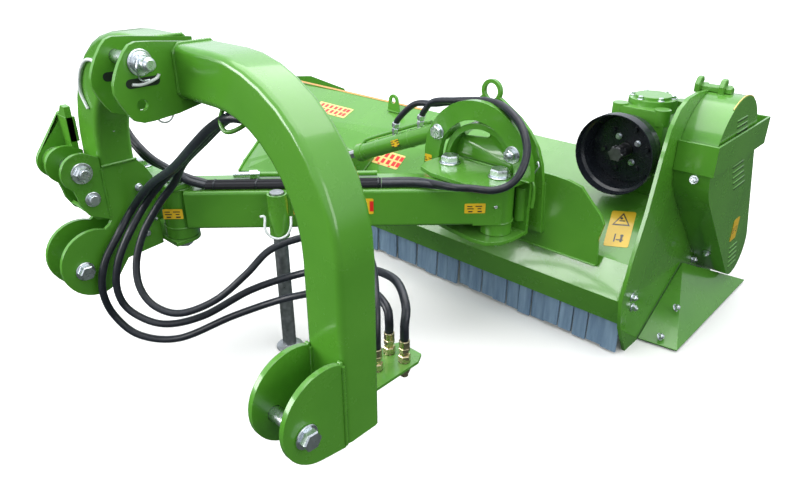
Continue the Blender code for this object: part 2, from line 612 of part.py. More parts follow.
def rotor():
    """Drum with flails, its shaft through the near plate and the driven pulley on its end."""
    end = HEAD_HALF - SIDE_PLATE - 0.004
    turned = [(0, -HEAD_HALF), (0.030, -HEAD_HALF), (0.030, -end), (0.065, -end), (0.065, end),
              (0.030, end), (0.030, 0.915), (0.062, 0.915), (0.062, 0.922), (0.050, 0.928),
              (0.062, 0.934), (0.062, 0.941), (0.050, 0.947), (0.062, 0.953), (0.062, 0.960),
              (0.026, 0.960), (0.026, 0.975), (0, 0.975)]
    drum = lathe("rotor", turned, (0, *ROTOR), (1, 0, 0), "blade", 20)
    points, faces = [], []
    for k in range(14):
        x = -0.845 + k * 0.130
        turn = math.radians(137.5 * k)
        radial = Vector((0, math.cos(turn), math.sin(turn)))
        around = Vector((0, -math.sin(turn), math.cos(turn)))
        centre = Vector((x, *ROTOR))
        start = len(points)
        for out in (0.055, 0.150):
            for dx, da in ((-0.028, -0.006), (0.028, -0.006), (0.028, 0.006), (-0.028, 0.006)):
                points.append(centre + radial * out + around * da + Vector((dx, 0, 0)))
        for face in ((0, 1, 2, 3), (4, 5, 6, 7), (0, 1, 5, 4), (1, 2, 6, 5), (2, 3, 7, 6), (3, 0, 4, 7)):
            faces.append(tuple(start + i for i in face))
    weld(drum, solid("flails", points, faces, "blade"))
    move_origin(drum, (0, *ROTOR))


def rear_roller():
    """Support roller between the side plates."""
    end = HEAD_HALF - SIDE_PLATE - 0.006
    turned = [(0, -0.902), (0.012, -0.902), (0.012, -end), (ROLLER_RADIUS, -end), (ROLLER_RADIUS, end),
              (0.012, end), (0.012, 0.902), (0, 0.902)]
    move_origin(lathe("rear_roller", turned, (0, *ROLLER), (1, 0, 0), "blade", 28), (0, *ROLLER))


def hood_fork():
    """Channel bracket on the hood that takes the ram's rod end, and its pin."""
    outline = [(0.078, 0.386), (0.078, 0.288), (0.176, 0.288), (0.240, 0.333), (0.240, 0.348),
               (0.142, 0.386), (0.1265, 0.386), (0.1265, 0.300), (0.088, 0.300), (0.088, 0.386)]
    fork = prism("hood_fork", outline, "x", RAM_HEAD[0] - 0.045, RAM_HEAD[0] + 0.045, "paint")
    bore(fork, (RAM_HEAD[0], 0, RAM_HEAD[1]), (0, 1, 0), 0.0115, 0.06, 0.138)
    pin = [(0.018, 0.066, 0.0775), (0.011, 0.0775, 0.136)]
    stepped_pin("ram_head_pin", (RAM_HEAD[0], 0, RAM_HEAD[1]), (0, 1, 0), pin)


def lifting_lug():
    """Small eye on the deck used to hang the head level."""
    outline = [(-0.256, 0.4455), (-0.196, 0.4455)] + arc((-0.226, 0.486), 0.024, 0, 180, 10)
    lug = prism("lifting_lug", outline, "y", 0.445, 0.453, "paint")
    bore(lug, (-0.226, 0, 0.486), (0, 1, 0), 0.011, 0.43, 0.47, 16)


# ---- driveline ----------------------------------------------------------------------------
def gearbox():
    """Bevel gearbox on its saddle, with the input guard, shafts and cross tube."""
    saddle = [(0.372, 0.4100), (0.500, 0.4635), (0.568, 0.4390), (0.568, 0.4690), (0.372, 0.4690)]
    prism("gearbox_saddle", saddle, "x", 0.672, 0.848, "paint")
    outline = [(0.684, 0.486), (0.700, 0.4695), (0.820, 0.4695), (0.836, 0.486), (0.836, 0.606),
               (0.806, 0.640), (0.714, 0.640), (0.684, 0.606)]
    case = prism("gearbox_case", outline, "y", 0.380, 0.560, "casting")
    lid = rod("gearbox lid", (0.760, 0.470, 0), (0, 0, 1), 0.066, 0.620, 0.656, "casting", 20)
    nose = rod("gearbox nose", (PTO[0], 0, PTO[1]), (0, 1, 0), 0.064, 0.345, 0.400, "casting", 24)
    flank = rod("gearbox flank", (0, *DRIVE), (1, 0, 0), 0.060, 0.800, 0.856, "casting", 24)
    tube = rod("cross tube", (0, *DRIVE), (1, 0, 0), 0.042, 0.840, 0.8945, "casting", 24)
    weld(case, lid, nose, flank, tube)
    bore(case, (PTO[0], 0, PTO[1]), (0, 1, 0), 0.0200, 0.320, 0.375)
    bore(case, (0, *DRIVE), (1, 0, 0), 0.0220, 0.826, 0.920)
    bell = [(0.1075, 0.262), (0.1100, 0.262), (0.1100, 0.292), (0.1040, 0.296), (0.0960, 0.344),
            (0.0470, 0.344), (0.0470, 0.340), (0.0930, 0.340), (0.1010, 0.294), (0.1075, 0.288)]
    lathe("pto_bell", bell, (PTO[0], 0, PTO[1]), (0, 1, 0), "plastic", 40)
    shaft = [(0.0175, 0.275, 0.300), (0.0150, 0.300, 0.306), (0.0175, 0.306, 0.335), (0.0185, 0.335, 0.370)]
    move_origin(stepped_pin("pto_shaft", (PTO[0], 0, PTO[1]), (0, 1, 0), shaft), (PTO[0], 0.275, PTO[1]))
    turned = [(0, 0.830), (0.021, 0.830), (0.021, 0.915), (0.098, 0.915), (0.098, 0.922), (0.086, 0.928),
              (0.098, 0.934), (0.098, 0.941), (0.086, 0.947), (0.098, 0.953), (0.098, 0.960),
              (0.030, 0.960), (0.030, 0.972), (0, 0.972)]
    move_origin(lathe("drive_pulley", turned, (0, *DRIVE), (1, 0, 0), "blade", 28), (0.915, *DRIVE))


def guard_outline(grow):
    """Side view of the belt guard: a hull around the two pulleys."""
    top, foot = (0.480, 0.536), (0.745, 0.160)
    lean = math.degrees(math.atan2(foot[1] - top[1], foot[0] - top[0]))
    reach = math.hypot(foot[0] - top[0], foot[1] - top[1])
    open_by = math.degrees(math.asin((0.158 - 0.085) / reach))
    outline = arc(top, 0.158 + grow, lean + 90 - open_by, lean + 270 + open_by, 26)
    return outline + arc(foot, 0.085 + grow, lean - 90 + open_by, lean + 90 - open_by, 12)


def belt_guard():
    """Hollow cover over the belt drive and the strap bent around it."""
    low = HEAD_HALF + GAP
    cover = prism("belt_guard", guard_outline(0), "x", low, 0.998, "paint")
    cut(cover, prism("guard hollow", guard_outline(-0.003), "x", low - 0.01, 0.995, "paint"))
    strap = [(low, 0.312), (1.008, 0.312), (1.008, 0.718), (low, 0.718),
             (low, 0.712), (1.002, 0.712), (1.002, 0.318), (low, 0.318)]
    prism("guard_strap", strap, "z", 0.518, 0.598, "paint")


# ---- hoses held by the headstock ----------------------------------------------------------
def loop_hoses():
    """Three hoses that hang from the arch, loop low and return to the couplings."""
    trunk = [(0.520, -0.705, 0.772), (0.460, -0.702, 0.762), (0.400, -0.695, 0.735),
             (0.270, -0.675, 0.675), (0.129, -0.642, 0.600)]
    ways = [
        [(0.024, -0.675, 0.520), (-0.062, -0.690, 0.440), (-0.065, -0.740, 0.379), (-0.065, -0.786, 0.319),
         (-0.065, -0.807, 0.245), (-0.062, -0.793, 0.164), (-0.016, -0.756, 0.105), (0.067, -0.687, 0.100),
         (0.170, -0.586, 0.165), (0.262, -0.506, 0.215), (0.360, -0.470, 0.262), (0.480, -0.470, 0.320),
         (0.590, -0.490, 0.372), (0.665, -0.512, 0.372), (0.682, -0.520, 0.345), (0.682, -0.520, 0.320)],
        [(0.033, -0.652, 0.520), (-0.037, -0.668, 0.450), (-0.043, -0.720, 0.384), (-0.043, -0.762, 0.318),
         (-0.040, -0.780, 0.244), (-0.020, -0.765, 0.182), (0.051, -0.718, 0.152), (0.123, -0.640, 0.172),
         (0.197, -0.535, 0.235), (0.290, -0.440, 0.280), (0.400, -0.420, 0.325), (0.520, -0.430, 0.375),
         (0.640, -0.460, 0.405), (0.710, -0.500, 0.390), (0.726, -0.520, 0.352), (0.726, -0.520, 0.320)],
        [(0.055, -0.628, 0.520), (0.000, -0.650, 0.455), (-0.018, -0.695, 0.384), (-0.016, -0.728, 0.312),
         (0.006, -0.740, 0.250), (0.049, -0.728, 0.208), (0.105, -0.690, 0.195), (0.163, -0.620, 0.228),
         (0.205, -0.550, 0.290), (0.225, -0.485, 0.342), (0.272, -0.415, 0.368), (0.350, -0.385, 0.388),
         (0.460, -0.400, 0.420), (0.580, -0.470, 0.430), (0.675, -0.552, 0.410), (0.704, -0.580, 0.358),
         (0.704, -0.580, 0.320)],
    ]
    for number, way in enumerate(ways, 1):
        spread = 0.021 * (number - 1)
        start = [(x, y + spread, z) for x, y, z in trunk]
        hose("loop_hose_%d" % number, start + way, HOSE_RADIUS)


def build():
    """Make every part of the mower."""
    clear_scene()
    arch()
    top_link()
    near_clevis()
    far_gusset()
    far_cheek()
    hinge_lugs()
    hose_bracket()
    arm()
    beam_hoses()
    parking_jack()
    carriage()
    tilt_ram()
    tilt_plate()
    hood_base()
    hood_shell()
    side_plates()
    skid("skid_near", 1)
    skid("skid_far", -1)
    flaps()
    rotor()
    rear_roller()
    hood_fork()
    lifting_lug()
    gearbox()
    belt_guard()
    loop_hoses()


build()
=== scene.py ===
# %% [markdown]
# # A side-shift flail mower, finished around its working frame
# The frame that is loaded here holds every plate, tube, pin and casting of the machine, each on the
# body that it moves with. This lesson gives those parts their enamel, zinc and rubber, replaces the
# coarse ones with finer meshes, and adds what a frame leaves out: bolts, welds, hoses and stickers.
# Everything is in metres: +X towards the belt guard, +Y to the rear, +Z up.

# %% Load the frame
import math
import random

import bmesh
import bpy
from mathutils import Matrix, Vector


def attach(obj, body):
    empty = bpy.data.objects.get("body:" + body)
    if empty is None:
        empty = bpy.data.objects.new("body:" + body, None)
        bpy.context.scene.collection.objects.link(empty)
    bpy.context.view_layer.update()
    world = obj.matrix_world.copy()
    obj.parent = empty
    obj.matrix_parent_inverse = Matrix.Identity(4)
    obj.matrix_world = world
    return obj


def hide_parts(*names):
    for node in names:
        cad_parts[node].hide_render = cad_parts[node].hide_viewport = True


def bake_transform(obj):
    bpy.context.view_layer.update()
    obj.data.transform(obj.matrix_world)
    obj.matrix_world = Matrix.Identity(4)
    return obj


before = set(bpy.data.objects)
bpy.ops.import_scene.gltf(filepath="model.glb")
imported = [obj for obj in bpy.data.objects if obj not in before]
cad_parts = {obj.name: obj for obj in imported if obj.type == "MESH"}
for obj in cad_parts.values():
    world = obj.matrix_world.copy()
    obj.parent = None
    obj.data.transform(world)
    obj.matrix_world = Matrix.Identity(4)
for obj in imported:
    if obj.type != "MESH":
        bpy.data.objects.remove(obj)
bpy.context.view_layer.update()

# %% [markdown]
# ## A few node helpers
# Materials, the world and the floor are all node trees. These short functions add a node, wire two
# sockets, or make the small groups that come back everywhere: noise, ramps, ranges and bumps.

# %% Helpers that build a node tree
def new_material(name):
    """A node material and its Principled shader."""
    made = bpy.data.materials.new(name)
    made.use_nodes = True
    return made, made.node_tree.nodes["Principled BSDF"]


def node(finish, kind, **values):
    """Add a node; values name its properties, or its inputs with _ for a space."""
    made = finish.node_tree.nodes.new(kind)
    for key, value in values.items():
        if hasattr(made, key):
            setattr(made, key, value)
        else:
            made.inputs[key.replace("_", " ")].default_value = value
    return made


def join(finish, source, out, target, into):
    """Wire one socket to another."""
    finish.node_tree.links.new(source.outputs[out], target.inputs[into])


def calc(finish, operation, *inputs):
    """A math node; each input is a number, a node or (node, output)."""
    made = node(finish, "ShaderNodeMath", operation=operation)
    for socket, value in enumerate(inputs):
        if isinstance(value, (int, float)):
            made.inputs[socket].default_value = value
        else:
            source, out = value if isinstance(value, tuple) else (value, 0)
            join(finish, source, out, made, socket)
    return made


def noise(finish, size, detail=3.0, rough=0.55, stretch=None):
    """Noise in the object's own space, with the given number of cells in a metre."""
    place = node(finish, "ShaderNodeTexCoord")
    made = node(finish, "ShaderNodeTexNoise", Scale=size, Detail=detail, Roughness=rough)
    if stretch is None:
        join(finish, place, "Object", made, "Vector")
        return made
    scaled = node(finish, "ShaderNodeMapping")
    scaled.inputs["Scale"].default_value = stretch
    join(finish, place, "Object", scaled, "Vector")
    join(finish, scaled, "Vector", made, "Vector")
    return made


def ramp(finish, source, out, stops):
    """Colour ramp over a value; stops are (position, colour)."""
    made = node(finish, "ShaderNodeValToRGB")
    while len(made.color_ramp.elements) < len(stops):
        made.color_ramp.elements.new(0.5)
    for element, (position, colour) in zip(made.color_ramp.elements, stops):
        element.position = position
        element.color = (*colour, 1)
    join(finish, source, out, made, "Fac")
    return made


def spread(finish, source, out, low, high, start=0.0, stop=1.0):
    """Map a value from start..stop to low..high."""
    made = node(finish, "ShaderNodeMapRange", From_Min=start, From_Max=stop, To_Min=low, To_Max=high)
    join(finish, source, out, made, "Value")
    return made


def relief(finish, heights, strength=1.0):
    """Chain of bumps: each height is (node, output, depth in metres)."""
    last = None
    for source, out, depth in heights:
        bump = node(finish, "ShaderNodeBump", Strength=strength, Distance=depth)
        join(finish, source, out, bump, "Height")
        if last:
            join(finish, last, "Normal", bump, "Normal")
        last = bump
    join(finish, last, "Normal", finish.node_tree.nodes["Principled BSDF"], "Normal")
    return last


def blend_colour(finish, factor, out, first, second):
    """Mix two colours or colour sockets by a factor socket."""
    made = node(finish, "ShaderNodeMix", data_type="RGBA")
    join(finish, factor, out, made, 0)
    for slot, value in ((6, first), (7, second)):
        if isinstance(value, tuple):
            made.inputs[slot].default_value = (*value, 1)
        else:
            finish.node_tree.links.new(value, made.inputs[slot])
    return made


print("node helpers ready")

# %% [markdown]
# ## Camera, lights and floor
# A machine this size is shown best from standing height, a few steps away, with a lens a little
# wider than normal. The light is a big soft box overhead with a weaker one on each side, so that the
# enamel gets long soft reflections and the floor only a faint shadow.

# %% Camera
EYE = Vector((1.49, -1.35, 1.09))
LOOK = Vector((-0.61485, 0.65705, -0.43617))

camera_data = bpy.data.cameras.new("camera")
camera_data.lens = 29.43
camera_data.sensor_width = 36.0
camera = bpy.data.objects.new("camera", camera_data)
camera.location = EYE
camera.rotation_mode = "QUATERNION"
camera.rotation_quaternion = LOOK.to_track_quat("-Z", "Y")
scene = bpy.context.scene
scene.collection.objects.link(camera)
scene.camera = camera
scene.view_settings.view_transform = "Standard"
print("camera", round(camera_data.lens, 2), "mm")


# %% Soft studio light
def softbox(name, place, aim, width, height, power, colour=(1, 1, 1)):
    """A rectangular area light that faces a point."""
    data = bpy.data.lights.new(name, "AREA")
    data.shape = "RECTANGLE"
    data.size, data.size_y = width, height
    data.energy, data.color = power, colour
    lamp = bpy.data.objects.new(name, data)
    lamp.location = place
    lamp.rotation_mode = "QUATERNION"
    lamp.rotation_quaternion = (Vector(aim) - Vector(place)).to_track_quat("-Z", "Y")
    scene.collection.objects.link(lamp)
    return lamp


CENTRE = (0.1, 0.1, 0.4)
softbox("softbox above", (0.2, 0.1, 3.4), CENTRE, 4.2, 3.6, 135)
softbox("softbox front", (-1.4, -3.6, 1.7), CENTRE, 2.6, 1.6, 118)
softbox("softbox side", (3.6, -0.4, 1.5), CENTRE, 1.8, 1.6, 26)

world = bpy.data.worlds.new("studio")
scene.world = world
world.use_nodes = True
sky = world.node_tree.nodes["Background"]
way = node(world, "ShaderNodeTexCoord")
height = node(world, "ShaderNodeSeparateXYZ")
join(world, way, "Generated", height, "Vector")
lift = spread(world, height, "Z", 0.0, 1.0, -1.0, 1.0)
shade = ramp(world, lift, "Result", [(0.46, (0.10, 0.12, 0.11)), (0.56, (0.88, 0.94, 1.0))])
join(world, shade, "Color", sky, "Color")
facing = node(world, "ShaderNodeVectorMath", operation="DOT_PRODUCT")
facing.inputs[1].default_value = (-0.61, 0.66, 0.436)
join(world, way, "Generated", facing, 0)
glow = spread(world, facing, "Value", 0.85, 1.35, 0.62, 1.0)
glow.interpolation_type = "SMOOTHSTEP"
join(world, glow, "Result", sky, "Strength")
print("3 softboxes and a studio that is dark below the horizon and brightest behind")


# %% Floor
floor_finish, shader = new_material("pale floor")
shader.inputs["Base Color"].default_value = (0.92, 0.90, 0.88, 1)
shader.inputs["Roughness"].default_value = 0.75
shader.inputs["Specular IOR Level"].default_value = 0.2
shader.inputs["Emission Color"].default_value = (1, 1, 1, 1)
# The floor glows, weakly within 1.1 m of the middle and strongly past 2.6 m: painted light that keeps the far floor
# white while the shadow near the machine still shows.
floor_spot = node(floor_finish, "ShaderNodeTexCoord")
floor_reach = node(floor_finish, "ShaderNodeVectorMath", operation="LENGTH")
join(floor_finish, floor_spot, "Object", floor_reach, 0)
floor_painted_glow = spread(floor_finish, floor_reach, "Value", 0.03, 0.60, 1.1, 2.6)
join(floor_finish, floor_painted_glow, "Result", shader, "Emission Strength")
floor_mesh = bpy.data.meshes.new("floor")
REACH = 30.0
corners = [(-REACH, -REACH, 0), (REACH, -REACH, 0), (REACH, REACH, 0), (-REACH, REACH, 0)]
floor_mesh.from_pydata(corners, [], [(0, 1, 2, 3)])
floor_mesh.materials.append(floor_finish)
floor = bpy.data.objects.new("floor", floor_mesh)
scene.collection.objects.link(floor)
floor.visible_glossy = False
floor.visible_diffuse = False
print("floor", 2 * REACH, "m")


# %% [markdown]
# ## Finishes
# The machine has few finishes but each has a grain of its own. Enamel over steel is glossy with a
# faint orange peel and a thin film of dust on what faces up. All of them read the object's own
# coordinates, so a pattern stays on its part when the part moves.

# %% Enamel
def enamel(name, deep, pale, peel=0.00006, gloss=0.22, dust=0.14):
    """Glossy paint: slow tone drift, orange peel, a film of dust on upward faces."""
    finish, shader = new_material(name)
    shader.inputs["Specular IOR Level"].default_value = 0.5
    shader.inputs["Coat Weight"].default_value = 0.55
    shader.inputs["Coat Roughness"].default_value = 0.07
    tone = ramp(finish, noise(finish, 5.0, 4.0), "Fac", [(0.30, deep), (0.70, pale)])
    normal = node(finish, "ShaderNodeTexCoord")
    facing = node(finish, "ShaderNodeSeparateXYZ")
    join(finish, normal, "Normal", facing, "Vector")
    upward = spread(finish, facing, "Z", 0.0, dust, 0.35, 1.0)
    specks = noise(finish, 38.0, 6.0, 0.7)
    film = calc(finish, "MULTIPLY", (upward, "Result"), (specks, "Fac"))
    dusty = blend_colour(finish, film, "Value", tone.outputs["Color"], (0.33, 0.42, 0.26))
    finish.node_tree.links.new(dusty.outputs[2], shader.inputs["Base Color"])
    smear = noise(finish, 14.0, 5.0, 0.65)
    rough = spread(finish, smear, "Fac", gloss - 0.05, gloss + 0.09, 0.3, 0.7)
    join(finish, rough, "Result", shader, "Roughness")
    relief(finish, [(noise(finish, 260.0, 2.0), "Fac", peel), (noise(finish, 9.0, 1.0), "Fac", 0.0006)])
    return finish


GREEN_DEEP, GREEN_PALE = (0.074, 0.268, 0.020), (0.098, 0.318, 0.028)
PAINT = enamel("green enamel", GREEN_DEEP, GREEN_PALE)
CAST_PAINT = enamel("green enamel on castings", GREEN_DEEP, GREEN_PALE, peel=0.00055, gloss=0.36)
print("enamel", PAINT.name, CAST_PAINT.name)


# %% [markdown]
# Zinc plating is bright but not a mirror: a fine spangle changes its roughness from crystal to
# crystal. Chrome is smoother, black hose cover is matt with a blue sheen, and the flaps are cut from
# reinforced rubber sheet with a vertical grain.

# %% Metals
def plated(name, colour, rough, cells, blotch):
    """Metal whose roughness and tone change with small crystals."""
    finish, shader = new_material(name)
    shader.inputs["Metallic"].default_value = 1.0
    place = node(finish, "ShaderNodeTexCoord")
    cell = node(finish, "ShaderNodeTexVoronoi", Scale=cells)
    join(finish, place, "Object", cell, "Vector")
    darker = tuple(c * (1 - blotch) for c in colour)
    crystal = spread(finish, cell, "Distance", 0.0, 1.0, 0.0, 0.8)
    tone = blend_colour(finish, crystal, "Result", colour, darker)
    finish.node_tree.links.new(tone.outputs[2], shader.inputs["Base Color"])
    drift = spread(finish, noise(finish, cells * 0.7, 4.0), "Fac", rough * 0.7, rough * 1.4, 0.3, 0.7)
    join(finish, drift, "Result", shader, "Roughness")
    relief(finish, [(noise(finish, cells * 2.0, 2.0), "Fac", 0.00003)])
    return finish


ZINC = plated("zinc plate", (0.80, 0.84, 0.88), 0.30, 120.0, 0.10)
YELLOW_ZINC = plated("yellow passivated zinc", (0.72, 0.62, 0.38), 0.28, 150.0, 0.25)
GALVANISED = plated("galvanised tube", (0.50, 0.52, 0.54), 0.38, 90.0, 0.25)
CHROME = plated("hard chrome", (0.78, 0.79, 0.80), 0.10, 300.0, 0.05)
STEEL = plated("dark bare steel", (0.20, 0.20, 0.21), 0.42, 60.0, 0.35)
print("5 metals")


# %% Rubber and plastic
def rubbery(name, deep, pale, rough, grain, stretch, depth, sheen=0.0):
    """Matt or satin polymer with a directional grain."""
    finish, shader = new_material(name)
    streaks = noise(finish, grain, 4.0, 0.6, stretch)
    tone = ramp(finish, streaks, "Fac", [(0.30, deep), (0.72, pale)])
    join(finish, tone, "Color", shader, "Base Color")
    shine = spread(finish, noise(finish, grain * 0.4, 3.0), "Fac", rough - 0.08, rough + 0.10, 0.3, 0.7)
    join(finish, shine, "Result", shader, "Roughness")
    shader.inputs["Sheen Weight"].default_value = sheen
    shader.inputs["Sheen Roughness"].default_value = 0.4
    shader.inputs["Sheen Tint"].default_value = (0.55, 0.68, 0.95, 1)
    relief(finish, [(streaks, "Fac", depth)])
    return finish


HOSE_COVER = rubbery("black hose cover", (0.006, 0.007, 0.010), (0.018, 0.021, 0.030), 0.38, 120.0,
                     (1, 1, 1), 0.00015, 0.10)
FLAP_RUBBER = rubbery("reinforced flap rubber", (0.115, 0.190, 0.285), (0.230, 0.340, 0.450), 0.50, 55.0,
                      (1.0, 1.0, 0.10), 0.0006)
BLACK_PLASTIC = rubbery("black moulded plastic", (0.008, 0.010, 0.014), (0.016, 0.019, 0.025), 0.22, 70.0,
                        (1, 1, 1), 0.00008)
print("3 polymers")


# %% [markdown]
# ## From coarse parts to finished ones
# The frame's meshes are cut into few facets and have knife edges. Real plates have a small radius on
# every edge, and that radius is what catches the light. A Bevel after a Weld and a planar dissolve
# rounds the true corners and leaves flat faces and round ones alone.

# %% Soften the frame's own parts
def soften(obj, width, segments=2, angle=32):
    """Merge, dissolve flat seams and round every edge sharper than the angle."""
    obj.data.shade_smooth()
    weld = obj.modifiers.new("weld", "WELD")
    weld.merge_threshold = 0.00002
    flat = obj.modifiers.new("flat", "DECIMATE")
    flat.decimate_type = "DISSOLVE"
    flat.angle_limit = math.radians(0.6)
    edge = obj.modifiers.new("edge", "BEVEL")
    edge.width = width
    edge.segments = segments
    edge.limit_method = "ANGLE"
    edge.angle_limit = math.radians(angle)
    edge.harden_normals = True
    normals = obj.modifiers.new("normals", "WEIGHTED_NORMAL")
    normals.keep_sharp = True
    return obj


def dress(names, finish, width=0.0015, **more):
    """Soften these frame parts and give them a finish."""
    for name in names.split():
        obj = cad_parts[name]
        obj.data.materials.clear()
        obj.data.materials.append(finish)
        soften(obj, width, **more)


dress("arch_near_tube arch_far_tube", PAINT, 0.001, angle=50)
dress("toplink_plate_far toplink_plate_near clevis_near_outer clevis_near_inner", PAINT)
dress("gusset_plate_near gusset_plate_far gusset_web cheek_far", PAINT)
dress("hinge_lug_top hinge_lug_bottom hose_bracket", PAINT)
dress("main_beam rear_link", PAINT, 0.0012, angle=50)
dress("carriage_top carriage_bottom carriage_web tilt_ring tilt_bearing", PAINT)
dress("tilt_barrel", PAINT, 0.0012)
dress("tilt_plate hood_base hood_fork lifting_lug", PAINT)
dress("side_plate_near side_plate_far guard_strap", PAINT)
dress("hood_shell skid_near skid_far", PAINT, 0.0012, angle=20)
dress("belt_guard", PAINT, 0.004, segments=3)
dress("gearbox_case gearbox_saddle", CAST_PAINT, 0.004, segments=3)
dress("jack_leg", GALVANISED, 0.001)
dress("tilt_rod", CHROME, 0.0008)
dress("rotor rear_roller drive_pulley pto_shaft", STEEL, 0.001)
dress("pto_bell", BLACK_PLASTIC, 0.0008)
print("frame parts dressed")


# %% [markdown]
# ## Hoses
# Three hoses leave the arch as one bundle, drop in a low loop beside the far gusset and come back to
# the couplings behind the near leg. Each is one curve with a round bevel. The points lie on a smooth
# curve through a few given places, as a stiff hose would.

# %% A curve through set points
def smooth_line(route, step):
    """Points about a step apart on a smooth curve through the route."""
    knots = [Vector(p) for p in route]
    knots = [knots[0] * 2 - knots[1]] + knots + [knots[-1] * 2 - knots[-2]]
    line = []
    for i in range(1, len(knots) - 2):
        p0, p1, p2, p3 = knots[i - 1:i + 3]
        parts = max(2, round((p2 - p1).length / step))
        for k in range(parts):
            t = k / parts
            pull = (p2 - p0) * t + (2 * p0 - 5 * p1 + 4 * p2 - p3) * t * t
            line.append(p1 + 0.5 * (pull + (3 * p1 - p0 - 3 * p2 + p3) * t ** 3))
    line.append(knots[-2])
    return line


def length_of(line):
    """Length of a chain of points."""
    return sum((b - a).length for a, b in zip(line, line[1:]))


def round_curve(name, lines, radius, finish, body, sides=4, swell=None):
    """Round rods along chains of points, as one object; swell gives a point's share of the radius."""
    data = bpy.data.curves.new(name, "CURVE")
    data.dimensions = "3D"
    data.bevel_depth, data.bevel_resolution = radius, sides
    data.use_fill_caps = True
    for line in lines:
        spline = data.splines.new("POLY")
        spline.points.add(len(line) - 1)
        for k, (point, spot) in enumerate(zip(spline.points, line)):
            point.co = (*spot, 1)
            if swell:
                point.radius = swell(k)
        spline.use_smooth = True
    data.materials.append(finish)
    made = bpy.data.objects.new(name, data)
    scene.collection.objects.link(made)
    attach(made, body)
    return made


def swing(centre, radius, first, last, steps):
    """Points on an arc, angles in degrees."""
    turns = [math.radians(first + (last - first) * k / steps) for k in range(steps + 1)]
    return [(centre[0] + radius * math.cos(t), centre[1] + radius * math.sin(t)) for t in turns]


print("curve helpers ready")

# %% The three loop hoses
HOSE_RADIUS = 0.0095
TRUNK = [(0.508, -0.680, 0.778), (0.462, -0.695, 0.776), (0.386, -0.690, 0.741),
         (0.300, -0.684, 0.686), (0.152, -0.660, 0.597)]
LOOPS = [
    [(0.024, -0.675, 0.520), (-0.062, -0.690, 0.440), (-0.065, -0.740, 0.379), (-0.065, -0.786, 0.319),
     (-0.065, -0.807, 0.245), (-0.062, -0.793, 0.164), (-0.016, -0.756, 0.105), (0.067, -0.687, 0.100),
     (0.170, -0.586, 0.165), (0.262, -0.506, 0.215), (0.360, -0.470, 0.262), (0.480, -0.470, 0.320),
     (0.590, -0.490, 0.372), (0.665, -0.512, 0.372), (0.682, -0.520, 0.345), (0.682, -0.520, 0.320)],
    [(0.033, -0.652, 0.520), (-0.037, -0.668, 0.450), (-0.043, -0.720, 0.384), (-0.043, -0.762, 0.318),
     (-0.040, -0.780, 0.244), (-0.020, -0.765, 0.182), (0.051, -0.718, 0.152), (0.123, -0.640, 0.172),
     (0.197, -0.535, 0.235), (0.290, -0.440, 0.280), (0.400, -0.420, 0.325), (0.520, -0.430, 0.375),
     (0.640, -0.460, 0.405), (0.710, -0.500, 0.390), (0.726, -0.520, 0.352), (0.726, -0.520, 0.320)],
    [(0.055, -0.628, 0.520), (0.000, -0.650, 0.455), (-0.018, -0.695, 0.384), (-0.016, -0.728, 0.312),
     (0.006, -0.740, 0.250), (0.049, -0.728, 0.208), (0.105, -0.690, 0.195), (0.163, -0.620, 0.228),
     (0.205, -0.550, 0.290), (0.225, -0.485, 0.342), (0.272, -0.415, 0.368), (0.350, -0.385, 0.388),
     (0.460, -0.400, 0.420), (0.580, -0.470, 0.430), (0.675, -0.552, 0.410), (0.704, -0.580, 0.358),
     (0.704, -0.580, 0.320)],
]
for number, loop in enumerate(LOOPS, 1):
    aside = number - 2
    start = [(x - 0.008 * aside, y + 0.019 * aside, z) for x, y, z in TRUNK]
    line = smooth_line(start + loop, 0.012)
    hose = round_curve("supply_hose_%d" % number, [line], HOSE_RADIUS, HOSE_COVER, "headstock")
    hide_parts("loop_hose_%d" % number)
    print(hose.name, round(length_of(line), 3), "m")

# %% [markdown]
# ## Fasteners
# A bolt reads as a bolt through its six chamfered sides, its washer and the end of its thread. The
# helper adds round or six-sided bodies to one form, and each form becomes one object on one body.

# %% Build round and six-sided forms
def skin(form, rings):
    """Join rings of vertices one after another and cap both ends."""
    for low, high in zip(rings, rings[1:]):
        for k in range(len(low)):
            after = (k + 1) % len(low)
            form.faces.new((low[k], low[after], high[after], high[k]))
    form.faces.new(rings[0][::-1])
    form.faces.new(rings[-1])


def turned(form, spot, axis, profile, sides=24, turn=0.0):
    """Add a body of (radius, distance) rings about an axis; six sides make a hexagon."""
    axis = Vector(axis).normalized()
    across = axis.orthogonal().normalized()
    other = axis.cross(across)
    rings = []
    for radius, distance in profile:
        centre = Vector(spot) + axis * distance
        angles = [turn + 2 * math.pi * k / sides for k in range(sides)]
        rings.append([form.verts.new(centre + (across * math.cos(t) + other * math.sin(t)) * radius)
                      for t in angles])
    skin(form, rings)


def hexagon(form, spot, axis, flats, start, end, turn=0.2):
    """A chamfered hexagon between two distances along an axis."""
    radius = flats / 2 / math.cos(math.radians(30))
    edge = 0.08 * flats
    turned(form, spot, axis, [(radius * 0.9, start), (radius, start + edge), (radius, end - edge),
                              (radius * 0.87, end)], 6, turn)


def disc(form, spot, axis, radius, start, end):
    """A round body with a small chamfer on both rims."""
    edge = min(0.0012, (end - start) / 3)
    turned(form, spot, axis, [(radius - edge, start), (radius, start + edge), (radius, end - edge),
                              (radius - edge, end)], 32)


def bolt(form, spot, axis, flats, stud=0.0):
    """A washer, a head or nut on it, and a little thread standing out."""
    disc(form, spot, axis, flats * 0.78, 0, 0.0022)
    hexagon(form, spot, axis, flats, 0.0022, 0.0022 + 0.62 * flats, turn=spot[2] * 40)
    if stud:
        top = 0.0022 + 0.62 * flats
        disc(form, spot, axis, flats * 0.30, top - 0.001, top + stud)


